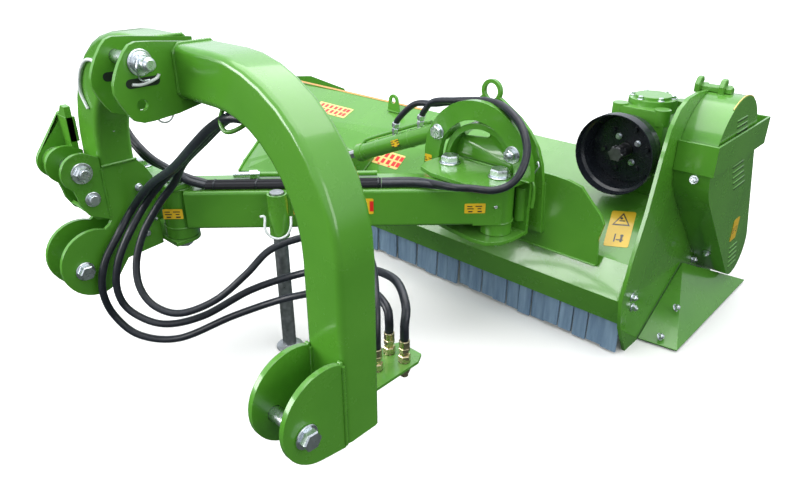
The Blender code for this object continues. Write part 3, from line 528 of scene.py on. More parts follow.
def mesh_object(name, form, finish, crease=None):
    """Turn a form into an object, smooth below the crease angle or flat without one."""
    if crease:
        bmesh.ops.recalc_face_normals(form, faces=form.faces)
    data = bpy.data.meshes.new(name)
    form.to_mesh(data)
    form.free()
    if crease:
        data.shade_smooth()
        data.set_sharp_from_angle(angle=math.radians(crease))
    data.materials.append(finish)
    made = bpy.data.objects.new(name, data)
    scene.collection.objects.link(made)
    return made


def form_piece(name, form, finish, body, crease=32):
    """Turn a form into a smooth-shaded object that rides a body."""
    made = mesh_object(name, form, finish, crease)
    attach(made, body)
    return made


def fastener(node_name, spot, axis, sections, body, finish=None):
    """A finer pin or bolt in place of a frame node; sections are (kind, size, start, end)."""
    form = bmesh.new()
    for kind, size, start, end in sections:
        (hexagon if kind == "hex" else disc)(form, spot, axis, size, start, end)
    made = form_piece(node_name + "_fine", form, finish or ZINC, body)
    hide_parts(node_name)


print("fastener helpers ready")

# %% Pins and big bolts
X_AXIS, Y_AXIS, Z_AXIS = (1, 0, 0), (0, 1, 0), (0, 0, 1)
fastener("toplink_pin", (0, -0.805, 0.872), X_AXIS,
         [("round", 0.0125, 0.226, 0.386), ("round", 0.021, 0.2416, 0.2494), ("round", 0.0235, 0.3506, 0.3542),
          ("round", 0.0190, 0.3542, 0.3590), ("round", 0.0160, 0.3590, 0.3640), ("round", 0.0100, 0.386, 0.392)],
         "headstock")
for node_name, inner, outer in (("lower_pin_near", 0.683, 0.783), ("lower_pin_far", -0.187, -0.087)):
    fastener(node_name, (0, -0.830, 0.302), X_AXIS,
             [("hex", 0.036, inner - 0.018, inner - 0.003), ("round", 0.024, inner - 0.003, inner - 0.0005),
              ("round", 0.014, inner - 0.001, outer + 0.001), ("round", 0.024, outer + 0.0005, outer + 0.0045),
              ("hex", 0.034, outer + 0.0045, outer + 0.021)], "headstock")
fastener("shear_bolt", (0, -0.787, 0.552), X_AXIS,
         [("hex", 0.040, -0.268, -0.250), ("round", 0.024, -0.250, -0.2465), ("round", 0.016, -0.248, -0.086),
          ("round", 0.026, -0.0865, -0.082), ("hex", 0.034, -0.082, -0.070), ("round", 0.0125, -0.071, -0.063)],
         "headstock")
for node_name, x in (("hinge_bolt_arm", -0.060), ("hinge_bolt_link", -0.230)):
    fastener(node_name, (x, -0.565, 0), Z_AXIS,
             [("hex", 0.038, 0.294, 0.312), ("round", 0.024, 0.312, 0.3145), ("round", 0.016, 0.314, 0.483),
              ("round", 0.025, 0.4825, 0.4855), ("hex", 0.038, 0.4855, 0.504)], "headstock")
for node_name, x, y in (("pivot_bolt_arm", 0.550, 0.045), ("pivot_bolt_link", 0.380, 0.045)):
    fastener(node_name, (x, y, 0), Z_AXIS,
             [("round", 0.013, 0.278, 0.284), ("hex", 0.038, 0.283, 0.305), ("round", 0.026, 0.305, 0.3085),
              ("round", 0.016, 0.308, 0.482), ("round", 0.031, 0.481, 0.4845), ("hex", 0.046, 0.4845, 0.504)],
             "carriage")
fastener("ram_foot_pin", (0.320, 0, 0.556), Y_AXIS,
         [("hex", 0.034, 0.0445, 0.0565), ("round", 0.0225, 0.0565, 0.0595), ("round", 0.012, 0.059, 0.135)],
         "carriage")
fastener("ram_head_pin", (-0.170, 0, 0.350), Y_AXIS,
         [("hex", 0.028, 0.066, 0.075), ("round", 0.018, 0.075, 0.0775), ("round", 0.011, 0.077, 0.136)], "head")
COUPLINGS = ((0.682, -0.520), (0.726, -0.520), (0.704, -0.580))
for number, (x, y) in enumerate(COUPLINGS, 1):
    fastener("hose_coupling_%d" % number, (x, y, 0), Z_AXIS,
             [("round", 0.0085, 0.228, 0.240), ("hex", 0.0235, 0.2395, 0.2575), ("round", 0.0108, 0.257, 0.267),
              ("hex", 0.0235, 0.2665, 0.283), ("round", 0.0092, 0.282, 0.290), ("hex", 0.0205, 0.289, 0.301),
              ("round", 0.0112, 0.300, 0.318)], "headstock", YELLOW_ZINC)
print("the frame's plain pins and bolts have finer ones in their place")

# %% Small bolts that the frame leaves out
form = bmesh.new()
for y, z in ((0.336, 0.559), (0.347, 0.521), (0.193, 0.185), (0.206, 0.147), (0.636, 0.134)):
    bolt(form, (0.9053, y, z), X_AXIS, 0.0165, 0.004)
for y, z in ((0.206, 0.147), (0.300, 0.200), (0.640, 0.134), (0.780, 0.130)):
    bolt(form, (-0.9053, y, z), (-1, 0, 0), 0.0165, 0.004)
bolt(form, (0.959, 0.3245, 0.500), (0, -1, 0.2), 0.015, 0.004)
bolt(form, (0.955, 0.5960, 0.1900), (0, -0.7157, -0.6984), 0.015, 0.004)
for spot_z in (0.540, 0.576):
    bolt(form, (0.930, 0.7182, spot_z), Y_AXIS, 0.014, 0.004)
for x, y in swing((0.760, 0.470), 0.054, 15, 315, 5):
    bolt(form, (x, y, 0.6562), Z_AXIS, 0.012)
for x in (0.690, 0.830):
    for y in (0.400, 0.540):
        bolt(form, (x, y, 0.4700), Z_AXIS, 0.016)
for y, z in ((0.386, 0.0880), (0.300, 0.0300)):
    bolt(form, (0.962, y, z), (0.816, 0, 0.577), 0.015, 0.003)
form_piece("head_bolts", form, ZINC, "head")

form = bmesh.new()
bolt(form, (0.5763, 0.0597, 0.5438), (0, -1, 0), 0.030, 0.006)
bolt(form, (0.590, 0.0820, 0.4950), Z_AXIS, 0.014)
form_piece("carriage_bolts", form, ZINC, "carriage")

form = bmesh.new()
for radius, start, end in ((0.0190, 0, 0.004), (0.0120, 0.004, 0.014)):
    disc(form, (-0.0868, -0.774, 0.481), X_AXIS, radius, start, end)
bolt(form, (-0.0868, -0.655, 0.480), X_AXIS, 0.013)
bolt(form, (-0.0868, -0.655, 0.350), X_AXIS, 0.013)
disc(form, (-0.087, -0.694, 0.640), X_AXIS, 0.004, 0, 0.010)
for x in (0.676, 0.732):
    bolt(form, (x, -0.6285, 0.2662), Z_AXIS, 0.012)
form_piece("headstock_bolts", form, ZINC, "headstock")
print("small bolts on three bodies")

# %% [markdown]
# ## Clips and wires
# Bent wire holds the pins: a linch clip lies in the slot under the top pin, a white wire hook sits on
# the far leg, and a shackle hangs on the parking leg's sleeve. Each is a thin round curve.

# %% Bent wires
WHITE_WIRE, shader = new_material("white coated wire")
grain = ramp(WHITE_WIRE, noise(WHITE_WIRE, 80.0), "Fac", [(0.3, (0.62, 0.66, 0.64)), (0.7, (0.80, 0.83, 0.82))])
join(WHITE_WIRE, grain, "Color", shader, "Base Color")
shader.inputs["Roughness"].default_value = 0.35
relief(WHITE_WIRE, [(noise(WHITE_WIRE, 200.0), "Fac", 0.0001)])


def wire(name, route, radius, finish, body):
    """A bent round wire through given points."""
    return round_curve(name, [smooth_line(route, 0.004)], radius, finish, body)


wire("linch_clip", [(0.353, -0.826, 0.836), (0.354, -0.812, 0.834), (0.354, -0.795, 0.836),
                    (0.354, -0.778, 0.842), (0.354, -0.774, 0.848)], 0.0028, WHITE_WIRE, "headstock")
wire("linch_wire", [(0.366, -0.812, 0.888), (0.372, -0.822, 0.868), (0.366, -0.818, 0.850),
                    (0.354, -0.806, 0.8405), (0.352, -0.792, 0.8395)], 0.0016, ZINC, "headstock")
wire("linch_ring", [(0.335, y, z) for y, z in swing((-0.765, 0.770), 0.017, -170, 180, 14)],
     0.0020, WHITE_WIRE, "headstock")
wire("leg_hook", [(0.027, -0.7425, 0.813), (-0.007, -0.744, 0.824), (-0.047, -0.744, 0.814),
                  (-0.085, -0.744, 0.780), (-0.1005, -0.744, 0.739), (-0.081, -0.7425, 0.702)],
     0.0038, WHITE_WIRE, "headstock")
ALONG, SIDE = Vector((0.7071, 0.7071, 0)), Vector((0.7071, -0.7071, 0))
HINGE = Vector((-0.060, -0.565, 0))


def on_beam(s, out, z):
    """Point on the beam: distance from the hinge, distance in front of its middle, height."""
    return HINGE + ALONG * s + SIDE * out + Vector((0, 0, z))


wire("jack_shackle", [on_beam(0.2765 - 0.046, 0.090, 0.411), on_beam(0.2765 - 0.034, 0.090, 0.410),
                      on_beam(0.2765 - 0.033, 0.106, 0.385), on_beam(0.2765 - 0.022, 0.109, 0.365),
                      on_beam(0.2765, 0.110, 0.357), on_beam(0.2765 + 0.022, 0.109, 0.366),
                      on_beam(0.2765 + 0.033, 0.106, 0.387), on_beam(0.2765 + 0.034, 0.092, 0.412)],
     0.0034, WHITE_WIRE, "arm")
wire("r_clip", [(0.606, 0.1375, 0.506), (0.612, 0.132, 0.515), (0.620, 0.126, 0.505), (0.613, 0.124, 0.490),
                (0.606, 0.125, 0.477), (0.598, 0.127, 0.488), (0.604, 0.128, 0.500)], 0.0022, ZINC, "head")
wire("ring_stay", [(0.556, 0.0900, 0.4860), (0.575, 0.0905, 0.4930), (0.605, 0.0910, 0.4900), (0.628, 0.0905, 0.470),
                   (0.634, 0.0900, 0.4350), (0.632, 0.0900, 0.400)], 0.0050, PAINT, "carriage")
wire("hose_hoop", [(0.447, -0.694, 0.812), (0.447, -0.712, 0.782), (0.455, -0.722, 0.764), (0.470, -0.722, 0.752),
                   (0.487, -0.710, 0.757), (0.494, -0.690, 0.770), (0.494, -0.672, 0.800)],
     0.0042, PAINT, "headstock")
print("7 wires and the hoop under the arch")

# %% [markdown]
# ## Weld beads
# Where two plates meet, a bead of weld stands in the corner. It is a thin tube whose radius swells
# and shrinks along the run, as the puddle did, and it is painted over with the same enamel.

# %% Weld beads
def bead(name, routes, body, radius=0.0036):
    """Rippled tubes along straight-sided routes, joined into one object."""
    chance = random.Random(name)
    runs = []
    for route in routes:
        knots = [Vector(p) for p in route]
        run = []
        for a, b in zip(knots, knots[1:]):
            parts = max(1, round((b - a).length / 0.0028))
            run += [a.lerp(b, k / parts) for k in range(parts)]
        runs.append(run + [knots[-1]])
    round_curve(name, runs, radius, PAINT, body, 2,
                lambda k: (1.14 if k % 2 else 0.88) * chance.uniform(0.92, 1.10))


def around(x, low_y, high_y, low_z, high_z, corner=0.012):
    """A closed rectangle with cut corners in a plane across x."""
    spots = [(low_y, low_z + corner), (low_y, high_z - corner), (low_y + corner, high_z),
             (high_y - corner, high_z), (high_y, high_z - corner), (high_y, low_z + corner),
             (high_y - corner, low_z), (low_y + corner, low_z), (low_y, low_z + corner)]
    return [(x, y, z) for y, z in spots]


runs = [around(0.3515, -0.739, -0.649, 0.795, 0.895), around(0.2485, -0.739, -0.649, 0.795, 0.895)]
for x in (0.6825, 0.6955, 0.7705, 0.7835):
    runs.append([(x, -0.7400, 0.222), (x, -0.7400, 0.400)])
for x in (0.6890, 0.7770):
    runs.append([(x - 0.005, -0.7410, 0.4045), (x + 0.005, -0.7410, 0.4045)])
for x in (-0.0870, -0.0990):
    runs.append([(x, -0.7395, 0.425), (x, -0.7395, 0.550)])
runs.append([(-0.0865, -0.648, 0.5560), (-0.0865, -0.738, 0.5560)])
runs.append([(-0.1885, -0.7405, 0.602), (-0.1885, -0.7405, 0.664)])
runs.append([(-0.0150, -0.6120, 0.4830), (-0.275, -0.6120, 0.4830)])
runs.append([(0.662, -0.6490, 0.2672), (0.746, -0.6490, 0.2672)])
bead("headstock_welds", runs, "headstock")

profile = [(0.133, 0.191), (0.175, 0.283), (0.310, 0.383), (0.500, 0.462)]
runs = [[(0.8925, y, z + 0.001) for y, z in profile],
        [(0.302, 0.1500, 0.2620), (0.807, 0.1500, 0.2620)],
        [(0.640, 0.1500, 0.312), (0.631, 0.1500, 0.456)],
        [(0.310, 0.163, 0.2780), (0.800, 0.163, 0.2780)],
        [(-0.126, 0.078, 0.290), (-0.126, 0.176, 0.290), (-0.126, 0.238, 0.334)],
        [(-0.254, 0.4440, 0.4450), (-0.198, 0.4440, 0.4450)],
        [(0.672, 0.3720, 0.4115), (0.848, 0.3720, 0.4115)]]
bead("head_welds", runs, "head", 0.0030)

runs = [[(0.323, 0.0998, 0.4812), (0.613, 0.0998, 0.4812)], [(0.323, 0.0998, 0.3085), (0.613, 0.0998, 0.3085)],
        [(0.590, 0.0590, 0.4812), (0.636, 0.0590, 0.4812)], [(0.3215, 0.0590, 0.4440), (0.3215, 0.0590, 0.4800)]]
bead("carriage_welds", runs, "carriage", 0.0030)

rings = []
for s, z in ((0.0, 0.4665), (0.0, 0.3585), (0.8627, 0.3585)):
    rings.append([on_beam(*spot, z) for spot in swing((s, 0), 0.0445, 0, 360, 36)])
for s in (0.252, 0.301):
    rings.append([on_beam(s, 0.052, 0.362), on_beam(s, 0.052, 0.462)])
bead("beam_welds", rings, "arm", 0.0028)
print("weld beads on four bodies")

# %% [markdown]
# ## Hoses along the arm
# Two more hoses come down behind the far leg, cross the hinge, run along the beam and loop round the
# ring to the ram. Where a hose crosses a joint it is a plain mesh in place, on no body.

# %% Hoses that cross a joint
def tube(name, line, radius, finish, sides=12):
    """A mesh tube along a line, with its cross-section carried along without twist."""
    form = bmesh.new()
    side = (line[1] - line[0]).normalized().orthogonal().normalized()
    rings = []
    for k, spot in enumerate(line):
        way = (line[min(k + 1, len(line) - 1)] - line[max(k - 1, 0)]).normalized()
        side = (side - way * side.dot(way)).normalized()
        other = way.cross(side)
        turns = [2 * math.pi * i / sides for i in range(sides)]
        rings.append([form.verts.new(spot + (side * math.cos(t) + other * math.sin(t)) * radius) for t in turns])
    skin(form, rings)
    return mesh_object(name, form, finish, 40)


def bending_hose(name, route, radius=HOSE_RADIUS):
    """A hose across one joint, as a mesh on no body; prints its length."""
    line = smooth_line(route, 0.010)
    made = tube(name, line, radius, HOSE_COVER)
    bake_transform(made)
    print(made.name, round(length_of(line), 3), "m")


PAIR_STEP = Vector((-0.0125, 0.018, -0.009))
for number, out in ((1, 0.012), (2, 0.033)):
    drop = 0.022 * (number - 1)
    bending_hose("hinge_hose_%d" % number,
                 [(-0.150 + drop, -0.628, 0.690), (-0.205 + drop, -0.618, 0.665), (-0.232 + drop, -0.610, 0.620),
                  (-0.203 + drop, -0.605, 0.578), (-0.125 + drop, -0.602, 0.537 + drop * 0.3),
                  (-0.055 + drop, -0.585, 0.520), on_beam(0.040, out, 0.492), on_beam(0.084, out, 0.4768)])
    aside = PAIR_STEP * (number - 1.5)
    bending_hose("ring_hose_%d" % number,
                 [on_beam(0.546, out, 0.4765), on_beam(0.640, out + 0.004, 0.4775)]
                 + [Vector(spot) + aside for spot in
                    ((0.516, -0.112, 0.4850), (0.5600, -0.092, 0.4880), (0.6150, -0.074, 0.4920),
                     (0.6449, -0.045, 0.5070), (0.6576, -0.020, 0.5371), (0.6513, 0.010, 0.5804),
                     (0.6186, 0.035, 0.6250), (0.5692, 0.060, 0.6496), (0.5066, 0.090, 0.6594),
                     (0.4464, 0.106, 0.6574))])
PORTS = ((0.215, 0.107, 0.570), (0.110, 0.107, 0.527))
for number, (x, y, z) in enumerate(PORTS, 1):
    aside = PAIR_STEP * (number - 1.5)
    route = [Vector(spot) + aside for spot in
             ((0.4464, 0.106, 0.6574), (0.400, 0.108, 0.6500), (0.340, 0.108, 0.6390))]
    route += [(0.262, 0.107, 0.6250)] if number == 1 else [(0.266, 0.112, 0.6180), (0.186, 0.110, 0.6040)]
    route += [(x + 0.012, y, z + 0.022), (x, y, z)]
    bending_hose("ram_hose_%d" % number, route)

form = bmesh.new()
for x, y, z in PORTS:
    foot = Vector((x - 0.006, y, z - 0.037))
    lean = Vector((0.15, 0, 1)).normalized()
    disc(form, foot, lean, 0.0085, 0, 0.032)
    hexagon(form, foot, lean, 0.020, 0.012, 0.026)
    hexagon(form, foot, lean, 0.023, 0.030, 0.044)
form_piece("ram_ports", form, ZINC, "barrel")
RAM_WAY = (Vector((-0.170, 0, 0.350)) - Vector((0.320, 0, 0.556))).normalized()
RAM_UP = Vector((-RAM_WAY.z, 0, RAM_WAY.x)) * -1


def on_ram(s, up, back=0.0):
    """Point on the ram: distance from its foot pin, height over its middle, distance behind."""
    return Vector((0.320, 0.107, 0.556)) + RAM_WAY * s + RAM_UP * up + Vector((0, back, 0))


wire("ram_pipe", [on_ram(0.060, 0.031, 0.004), on_ram(0.130, 0.036, 0.006), on_ram(0.250, 0.036, 0.006),
                  on_ram(0.345, 0.036, 0.006), on_ram(0.372, 0.033, 0.004), on_ram(0.385, 0.024, 0.0)],
     0.0055, PAINT, "barrel")
form = bmesh.new()
disc(form, on_ram(0, 0), RAM_WAY, 0.0285, 0.404, 0.4115)
for s_clamp in (0.150, 0.300):
    disc(form, on_ram(s_clamp, 0), RAM_WAY, 0.0282, 0, 0.010)
form_piece("ram_bands", form, PAINT, "barrel")

form = bmesh.new()
for s_tie in (0.105, 0.215, 0.330, 0.440, 0.535):
    for out in (0.012, 0.033):
        disc(form, on_beam(s_tie, out, 0.4765), ALONG, 0.0106, 0, 0.005)
form_piece("beam_ties", form, BLACK_PLASTIC, "arm")
form = bmesh.new()
union_spot, union_way = (-0.050, -0.395, 0.4525), (0.66, 0.75, 0)
disc(form, union_spot, union_way, 0.0085, 0, 0.075)
hexagon(form, union_spot, union_way, 0.023, 0.045, 0.070)
form_piece("link_pipe_union", form, ZINC, "link")
wire("link_pipe", [(0.0, -0.339, 0.4525), (0.060, -0.279, 0.4525), (0.160, -0.179, 0.4525), (0.235, -0.104, 0.4525)],
     0.0075, PAINT, "link")
print("ram ports, clamps and ties")

# %% [markdown]
# ## Stickers
# A sticker is a sheet of printed film: a thin rounded plate with its own centre and directions. The
# print is made of soft-edged blocks in the sticker's own coordinates, so that no picture is needed.

# %% Printed film
FILM = 0.0005  # thickness of the printed sheet


def printed(name, base, marks, worn=0.10):
    """Film with rectangular, round and triangular marks: (kind, x, y, width, height, colour)."""
    finish, shader = new_material(name)
    shader.inputs["Coat Weight"].default_value = 0.4
    place = node(finish, "ShaderNodeTexCoord")
    spot = node(finish, "ShaderNodeSeparateXYZ")
    join(finish, place, "Object", spot, "Vector")
    fade = noise(finish, 60.0, 5.0)
    tone = ramp(finish, fade, "Fac", [(0.25, tuple(c * (1 - worn) for c in base)), (0.75, base)])
    colour = tone.outputs["Color"]
    for kind, x, y, width, height, ink in marks:
        across, up = calc(finish, "SUBTRACT", (spot, "X"), x), calc(finish, "SUBTRACT", (spot, "Y"), y)
        ratios = [calc(finish, "DIVIDE", calc(finish, "ABSOLUTE", way), size / 2)
                  for way, size in ((across, width), (up, height))]
        if kind == "disc":
            reach = calc(finish, "ADD", *[calc(finish, "POWER", ratio, 2.0) for ratio in ratios])
        else:
            reach = calc(finish, "MAXIMUM", *ratios)
        if kind == "triangle":
            lean = calc(finish, "MULTIPLY_ADD", up, 1 / height, 0.5)
            reach = calc(finish, "MAXIMUM", calc(finish, "ADD", lean, ratios[0]), reach)
        inside = spread(finish, reach, 0, 1.0, 0.0, 0.94, 1.03)
        mixed = blend_colour(finish, inside, "Result", (0, 0, 0), ink)
        finish.node_tree.links.new(colour, mixed.inputs[6])
        colour = mixed.outputs[2]
    finish.node_tree.links.new(colour, shader.inputs["Base Color"])
    rough = spread(finish, fade, "Fac", 0.28, 0.42, 0.3, 0.7)
    join(finish, rough, "Result", shader, "Roughness")
    relief(finish, [(noise(finish, 300.0, 2.0), "Fac", 0.00005)])
    return finish


def sticker(name, centre, right, up, width, height, finish, body):
    """A thin rounded plate on a face, with its own origin in its middle."""
    right, up = Vector(right).normalized(), Vector(up).normalized()
    up = (up - right * up.dot(right)).normalized()
    out = right.cross(up)
    corner, outline = min(width, height) * 0.08, []
    for turn, sx, sy in ((0, 1, 1), (90, -1, 1), (180, -1, -1), (270, 1, -1)):
        for k in range(4):
            angle = math.radians(turn + 30 * k)
            x = sx * (width / 2 - corner) + corner * math.cos(angle)
            y = sy * (height / 2 - corner) + corner * math.sin(angle)
            outline.append((x, y))
    form = bmesh.new()
    skin(form, [[form.verts.new((x, y, z)) for x, y in outline] for z in (0.0, FILM)])
    made = mesh_object(name, form, finish)
    facing = Matrix((right, up, out)).transposed().to_4x4()
    made.matrix_world = Matrix.Translation(Vector(centre) + out * 0.0004) @ facing
    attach(made, body)


YELLOW, INK, RED, WHITE = (0.88, 0.55, 0.02), (0.03, 0.025, 0.02), (0.75, 0.02, 0.015), (0.85, 0.85, 0.80)
GREASE = printed("yellow film with a row of small marks", YELLOW,
                 [("block", -0.014, 0.006, 0.014, 0.003, INK), ("block", 0.010, 0.006, 0.018, 0.003, INK),
                  ("block", -0.012, -0.001, 0.018, 0.003, INK), ("block", 0.012, -0.001, 0.010, 0.003, INK),
                  ("block", -0.012, -0.009, 0.012, 0.004, INK), ("block", 0.013, -0.009, 0.012, 0.004, INK)])
WARNING = printed("yellow film with a warning triangle", YELLOW,
                  [("triangle", 0.0, 0.032, 0.050, 0.044, INK), ("triangle", 0.0, 0.030, 0.038, 0.031, YELLOW),
                   ("block", 0.001, 0.026, 0.016, 0.004, INK), ("disc", -0.002, 0.034, 0.008, 0.008, INK),
                   ("block", -0.008, -0.030, 0.004, 0.026, INK), ("block", 0.006, -0.036, 0.020, 0.004, INK),
                   ("disc", 0.010, -0.022, 0.009, 0.009, INK), ("block", 0.010, -0.034, 0.006, 0.018, INK)])
STOP = printed("yellow film with a red disc", YELLOW,
               [("disc", 0.004, 0.0, 0.034, 0.036, RED), ("block", 0.060, 0.0, 0.050, 0.030, INK),
                ("block", 0.120, 0.0, 0.050, 0.030, RED), ("block", 0.182, 0.006, 0.012, 0.022, INK),
                ("block", 0.197, -0.006, 0.006, 0.022, INK)])
CHEVRON = printed("yellow film with red bars", (0.90, 0.66, 0.22),
                  [("block", x, y, 0.016, 0.020, RED) for x in (-0.072, -0.046, -0.018, 0.010, 0.036, 0.062, 0.082)
                   for y in (-0.012, 0.014)] + [("block", x, -0.027, 0.010, 0.006, RED) for x in (-0.06, 0.0, 0.05)])
HOOD_UP, DECK_UP = (0, 0.8037, 0.5952), (0, 0.9233, 0.3839)
for label, centre, right, up, width, height, film, body in (
        ("beam_hinge", on_beam(-0.004, 0.0501, 0.4050), ALONG, Z_AXIS, 0.052, 0.028, GREASE, "arm"),
        ("beam_ring", on_beam(0.794, 0.0501, 0.4100), ALONG, Z_AXIS, 0.056, 0.028, GREASE, "arm"),
        ("beam_middle", on_beam(0.418, 0.0501, 0.4200), ALONG, Z_AXIS, 0.212, 0.044, STOP, "arm"),
        ("hood_warning", (0.817, 0.2520, 0.3401), (0.970, 0.195, 0.145), HOOD_UP, 0.066, 0.116, WARNING, "head"),
        ("ring_foot", (0.286, 0.0600, 0.4640), X_AXIS, Z_AXIS, 0.026, 0.034, GREASE, "carriage"),
        ("guard", (0.9982, 0.665, 0.2580), Y_AXIS, Z_AXIS, 0.050, 0.072, GREASE, "head"),
        ("deck", (-0.510, 0.3830, 0.4134), X_AXIS, DECK_UP, 0.200, 0.062, CHEVRON, "head"),
        ("hood_middle", (-0.090, 0.2490, 0.3378), X_AXIS, HOOD_UP, 0.180, 0.062, CHEVRON, "head"),
        ("hood_far", (-0.618, 0.2150, 0.2930), (1, -0.05, 0.33), (0, 0.795, 0.606), 0.085, 0.032, GREASE, "head"),
        ("barrel", on_ram(0.205, 0.0, -0.0272), -RAM_WAY, RAM_UP, 0.034, 0.022, GREASE, "barrel")):
    sticker("sticker_" + label, centre, right, up, width, height, film, body)
print("10 stickers")

# %% [markdown]
# ## Vents, edges and other small work
# Louvres let warm air out of the belt guard. Each slit is a strip of painted shade, with a lip of enamelled sheet
# above it.
# A thin strip of orange film marks the deck's ridge, where a passer-by would otherwise catch a knee.

# %% Louvres on the guard
# A near-black finish is painted shade: it stands for the dark inside of slits and slots, where little light reaches.
GAP_SHADE, shader = new_material("painted shade in gaps")
shade_of = ramp(GAP_SHADE, noise(GAP_SHADE, 90.0), "Fac", [(0.3, (0.004, 0.010, 0.004)), (0.7, (0.010, 0.022, 0.009))])
join(GAP_SHADE, shade_of, "Color", shader, "Base Color")
shader.inputs["Roughness"].default_value = 0.8
# each louvre: front end, rear end, height
LOUVRES = [(0.445, 0.526, 0.632), (0.452, 0.538, 0.615), (0.460, 0.550, 0.598), (0.468, 0.562, 0.581),
           (0.495, 0.588, 0.494), (0.508, 0.602, 0.475), (0.520, 0.616, 0.456), (0.534, 0.632, 0.437),
           (0.550, 0.648, 0.417), (0.660, 0.731, 0.189), (0.667, 0.739, 0.170), (0.674, 0.747, 0.151),
           (0.681, 0.755, 0.132), (0.690, 0.763, 0.113)]
# The slits are near-black strips of painted shade; the lips above them are enamelled sheet.
slits, lips = bmesh.new(), bmesh.new()
for y0, y1, z in LOUVRES:
    disc(slits, (0.9962, (y0 + y1) / 2, z), X_AXIS, 0.001, 0, 0.0001)
    for form, radius, height, stand in ((slits, 0.0026, z, 0.9963), (lips, 0.0022, z + 0.0040, 0.9978)):
        turned(form, (stand, y0, height), Y_AXIS, [(radius * 0.3, 0), (radius, 0.004), (radius, y1 - y0 - 0.004),
                                                   (radius * 0.3, y1 - y0)], 12)
form_piece("guard_slit_shade", slits, GAP_SHADE, "head")
form_piece("guard_lips", lips, PAINT, "head")
print(len(LOUVRES), "louvres")

# %% Edge strips
ORANGE_FILM = printed("orange edge film", (0.62, 0.33, 0.08), [])
YELLOW_FILM = printed("yellow edge film", (0.85, 0.66, 0.20), [])
sticker("strip_deck", (-0.500, 0.4965, 0.46100), X_AXIS, DECK_UP, 0.760, 0.010, ORANGE_FILM, "head")
ridge = [(0.9955, y, z) for y, z in swing((0.480, 0.536), 0.1592, 64, 120, 14)]
wire("strip_guard", ridge, 0.0016, YELLOW_FILM, "head")
print("2 edge strips")

# %% [markdown]
# ## Rubber flaps
# A row of stiff rubber strips hangs under the hood's front edge. They overlap in turn, hang at their
# own small angle and differ a little in length, and each has shallow grooves.

# %% Flaps with gaps between them
chance = random.Random(8)
FLAPS, EDGE, TOP, THICK, STEPS = 38, 0.893, 0.106, 0.0065, 12
pitch = 2 * EDGE / FLAPS
curtain = bmesh.new()
for k in range(FLAPS):
    middle = -EDGE + (k + 0.5) * pitch + chance.uniform(-0.001, 0.001)
    half = pitch / 2 - chance.choice((0.0004, 0.0006, 0.0026))
    front = 0.1725 if k % 2 else 0.1785
    foot, lean = 0.006 + chance.uniform(0.0, 0.012), chance.uniform(-0.005, 0.002)
    rings = []
    for level in (TOP, 0.060, foot):
        shift = lean * (TOP - level) / 0.1
        row = [(middle - half + 2 * half * i / STEPS, front + shift + (0.0 if i % 4 else 0.0008))
               for i in range(STEPS + 1)]
        row += [(x, front + shift + THICK) for x, y in row[::-1]]
        rings.append([curtain.verts.new((x, y, level)) for x, y in row])
    skin(curtain, rings)
flaps = form_piece("flap_row", curtain, FLAP_RUBBER, "curtain", 25)
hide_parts("flap_curtain")
print(FLAPS, "flaps")

# %% [markdown]
# ## Small plates and castings
# What is left is thin sheet and cast bosses: a backing behind the tilt ring with a slot through it,
# the cheek at the beam's end, ribs on the far leg, the floor of the input guard and the gearbox caps.

# %% Plates that finish the ring, the beam's end and the far cheek
def plate(name, outline, axis, low, high, finish, body, width=0.0012):
    """A flat plate with small rounded edges; the outline lies across the axis."""
    place = {"x": lambda a, b, d: (d, a, b), "y": lambda a, b, d: (a, d, b),
             "z": lambda a, b, d: (a, b, d)}[axis]
    form = bmesh.new()
    skin(form, [[form.verts.new(place(a, b, d)) for a, b in outline] for d in (low, high)])
    made = form_piece(name, form, finish, body)
    if width:
        edge = made.modifiers.new("edge", "BEVEL")
        edge.width, edge.segments, edge.limit_method = width, 2, "ANGLE"
        edge.angle_limit, edge.harden_normals = math.radians(32), True
    return made


slot = swing((0.455, 0.5655), 0.011, -90, 90, 8) + swing((0.378, 0.5565), 0.011, 90, 270, 8)
lobe = swing((0.455, 0.482), 0.1075, 180, 0, 36)
backing = plate("ring_backing", [(0.3475, 0.4815)] + lobe + [(0.5625, 0.4815)], "y", 0.1140, 0.1200,
                PAINT, "carriage", 0)
cutter = plate("slot_cutter", slot, "y", 0.10, 0.14, PAINT, "carriage", 0)
through = backing.modifiers.new("slot", "BOOLEAN")
through.operation, through.solver, through.object = "DIFFERENCE", "EXACT", cutter
cutter.hide_render = True
cutter.hide_set(True)
wire("slot_rim", [(x, 0.1135, z) for x, z in slot + slot[:1]], 0.0016, PAINT, "carriage")

cheek = [on_beam(s, out, 0) for s, out in ((0.790, 0.0440), (0.790, 0.0500), (0.8667, 0.0500), (0.8667, 0.0440))]
plate("beam_end_cheek", [(p.x, p.y) for p in cheek], "z", 0.3592, 0.4660, PAINT, "arm", 0.0008)
form = bmesh.new()
disc(form, on_beam(0.8500, 0.0500, 0.4130), SIDE, 0.0048, 0, 0.004)
disc(form, on_beam(0.8500, 0.0500, 0.4130), SIDE, 0.0028, 0.004, 0.009)
disc(form, on_beam(-0.050, 0.0445, 0.392), SIDE, 0.004, 0, 0.008)
form_piece("grease_nipples", form, ZINC, "arm")
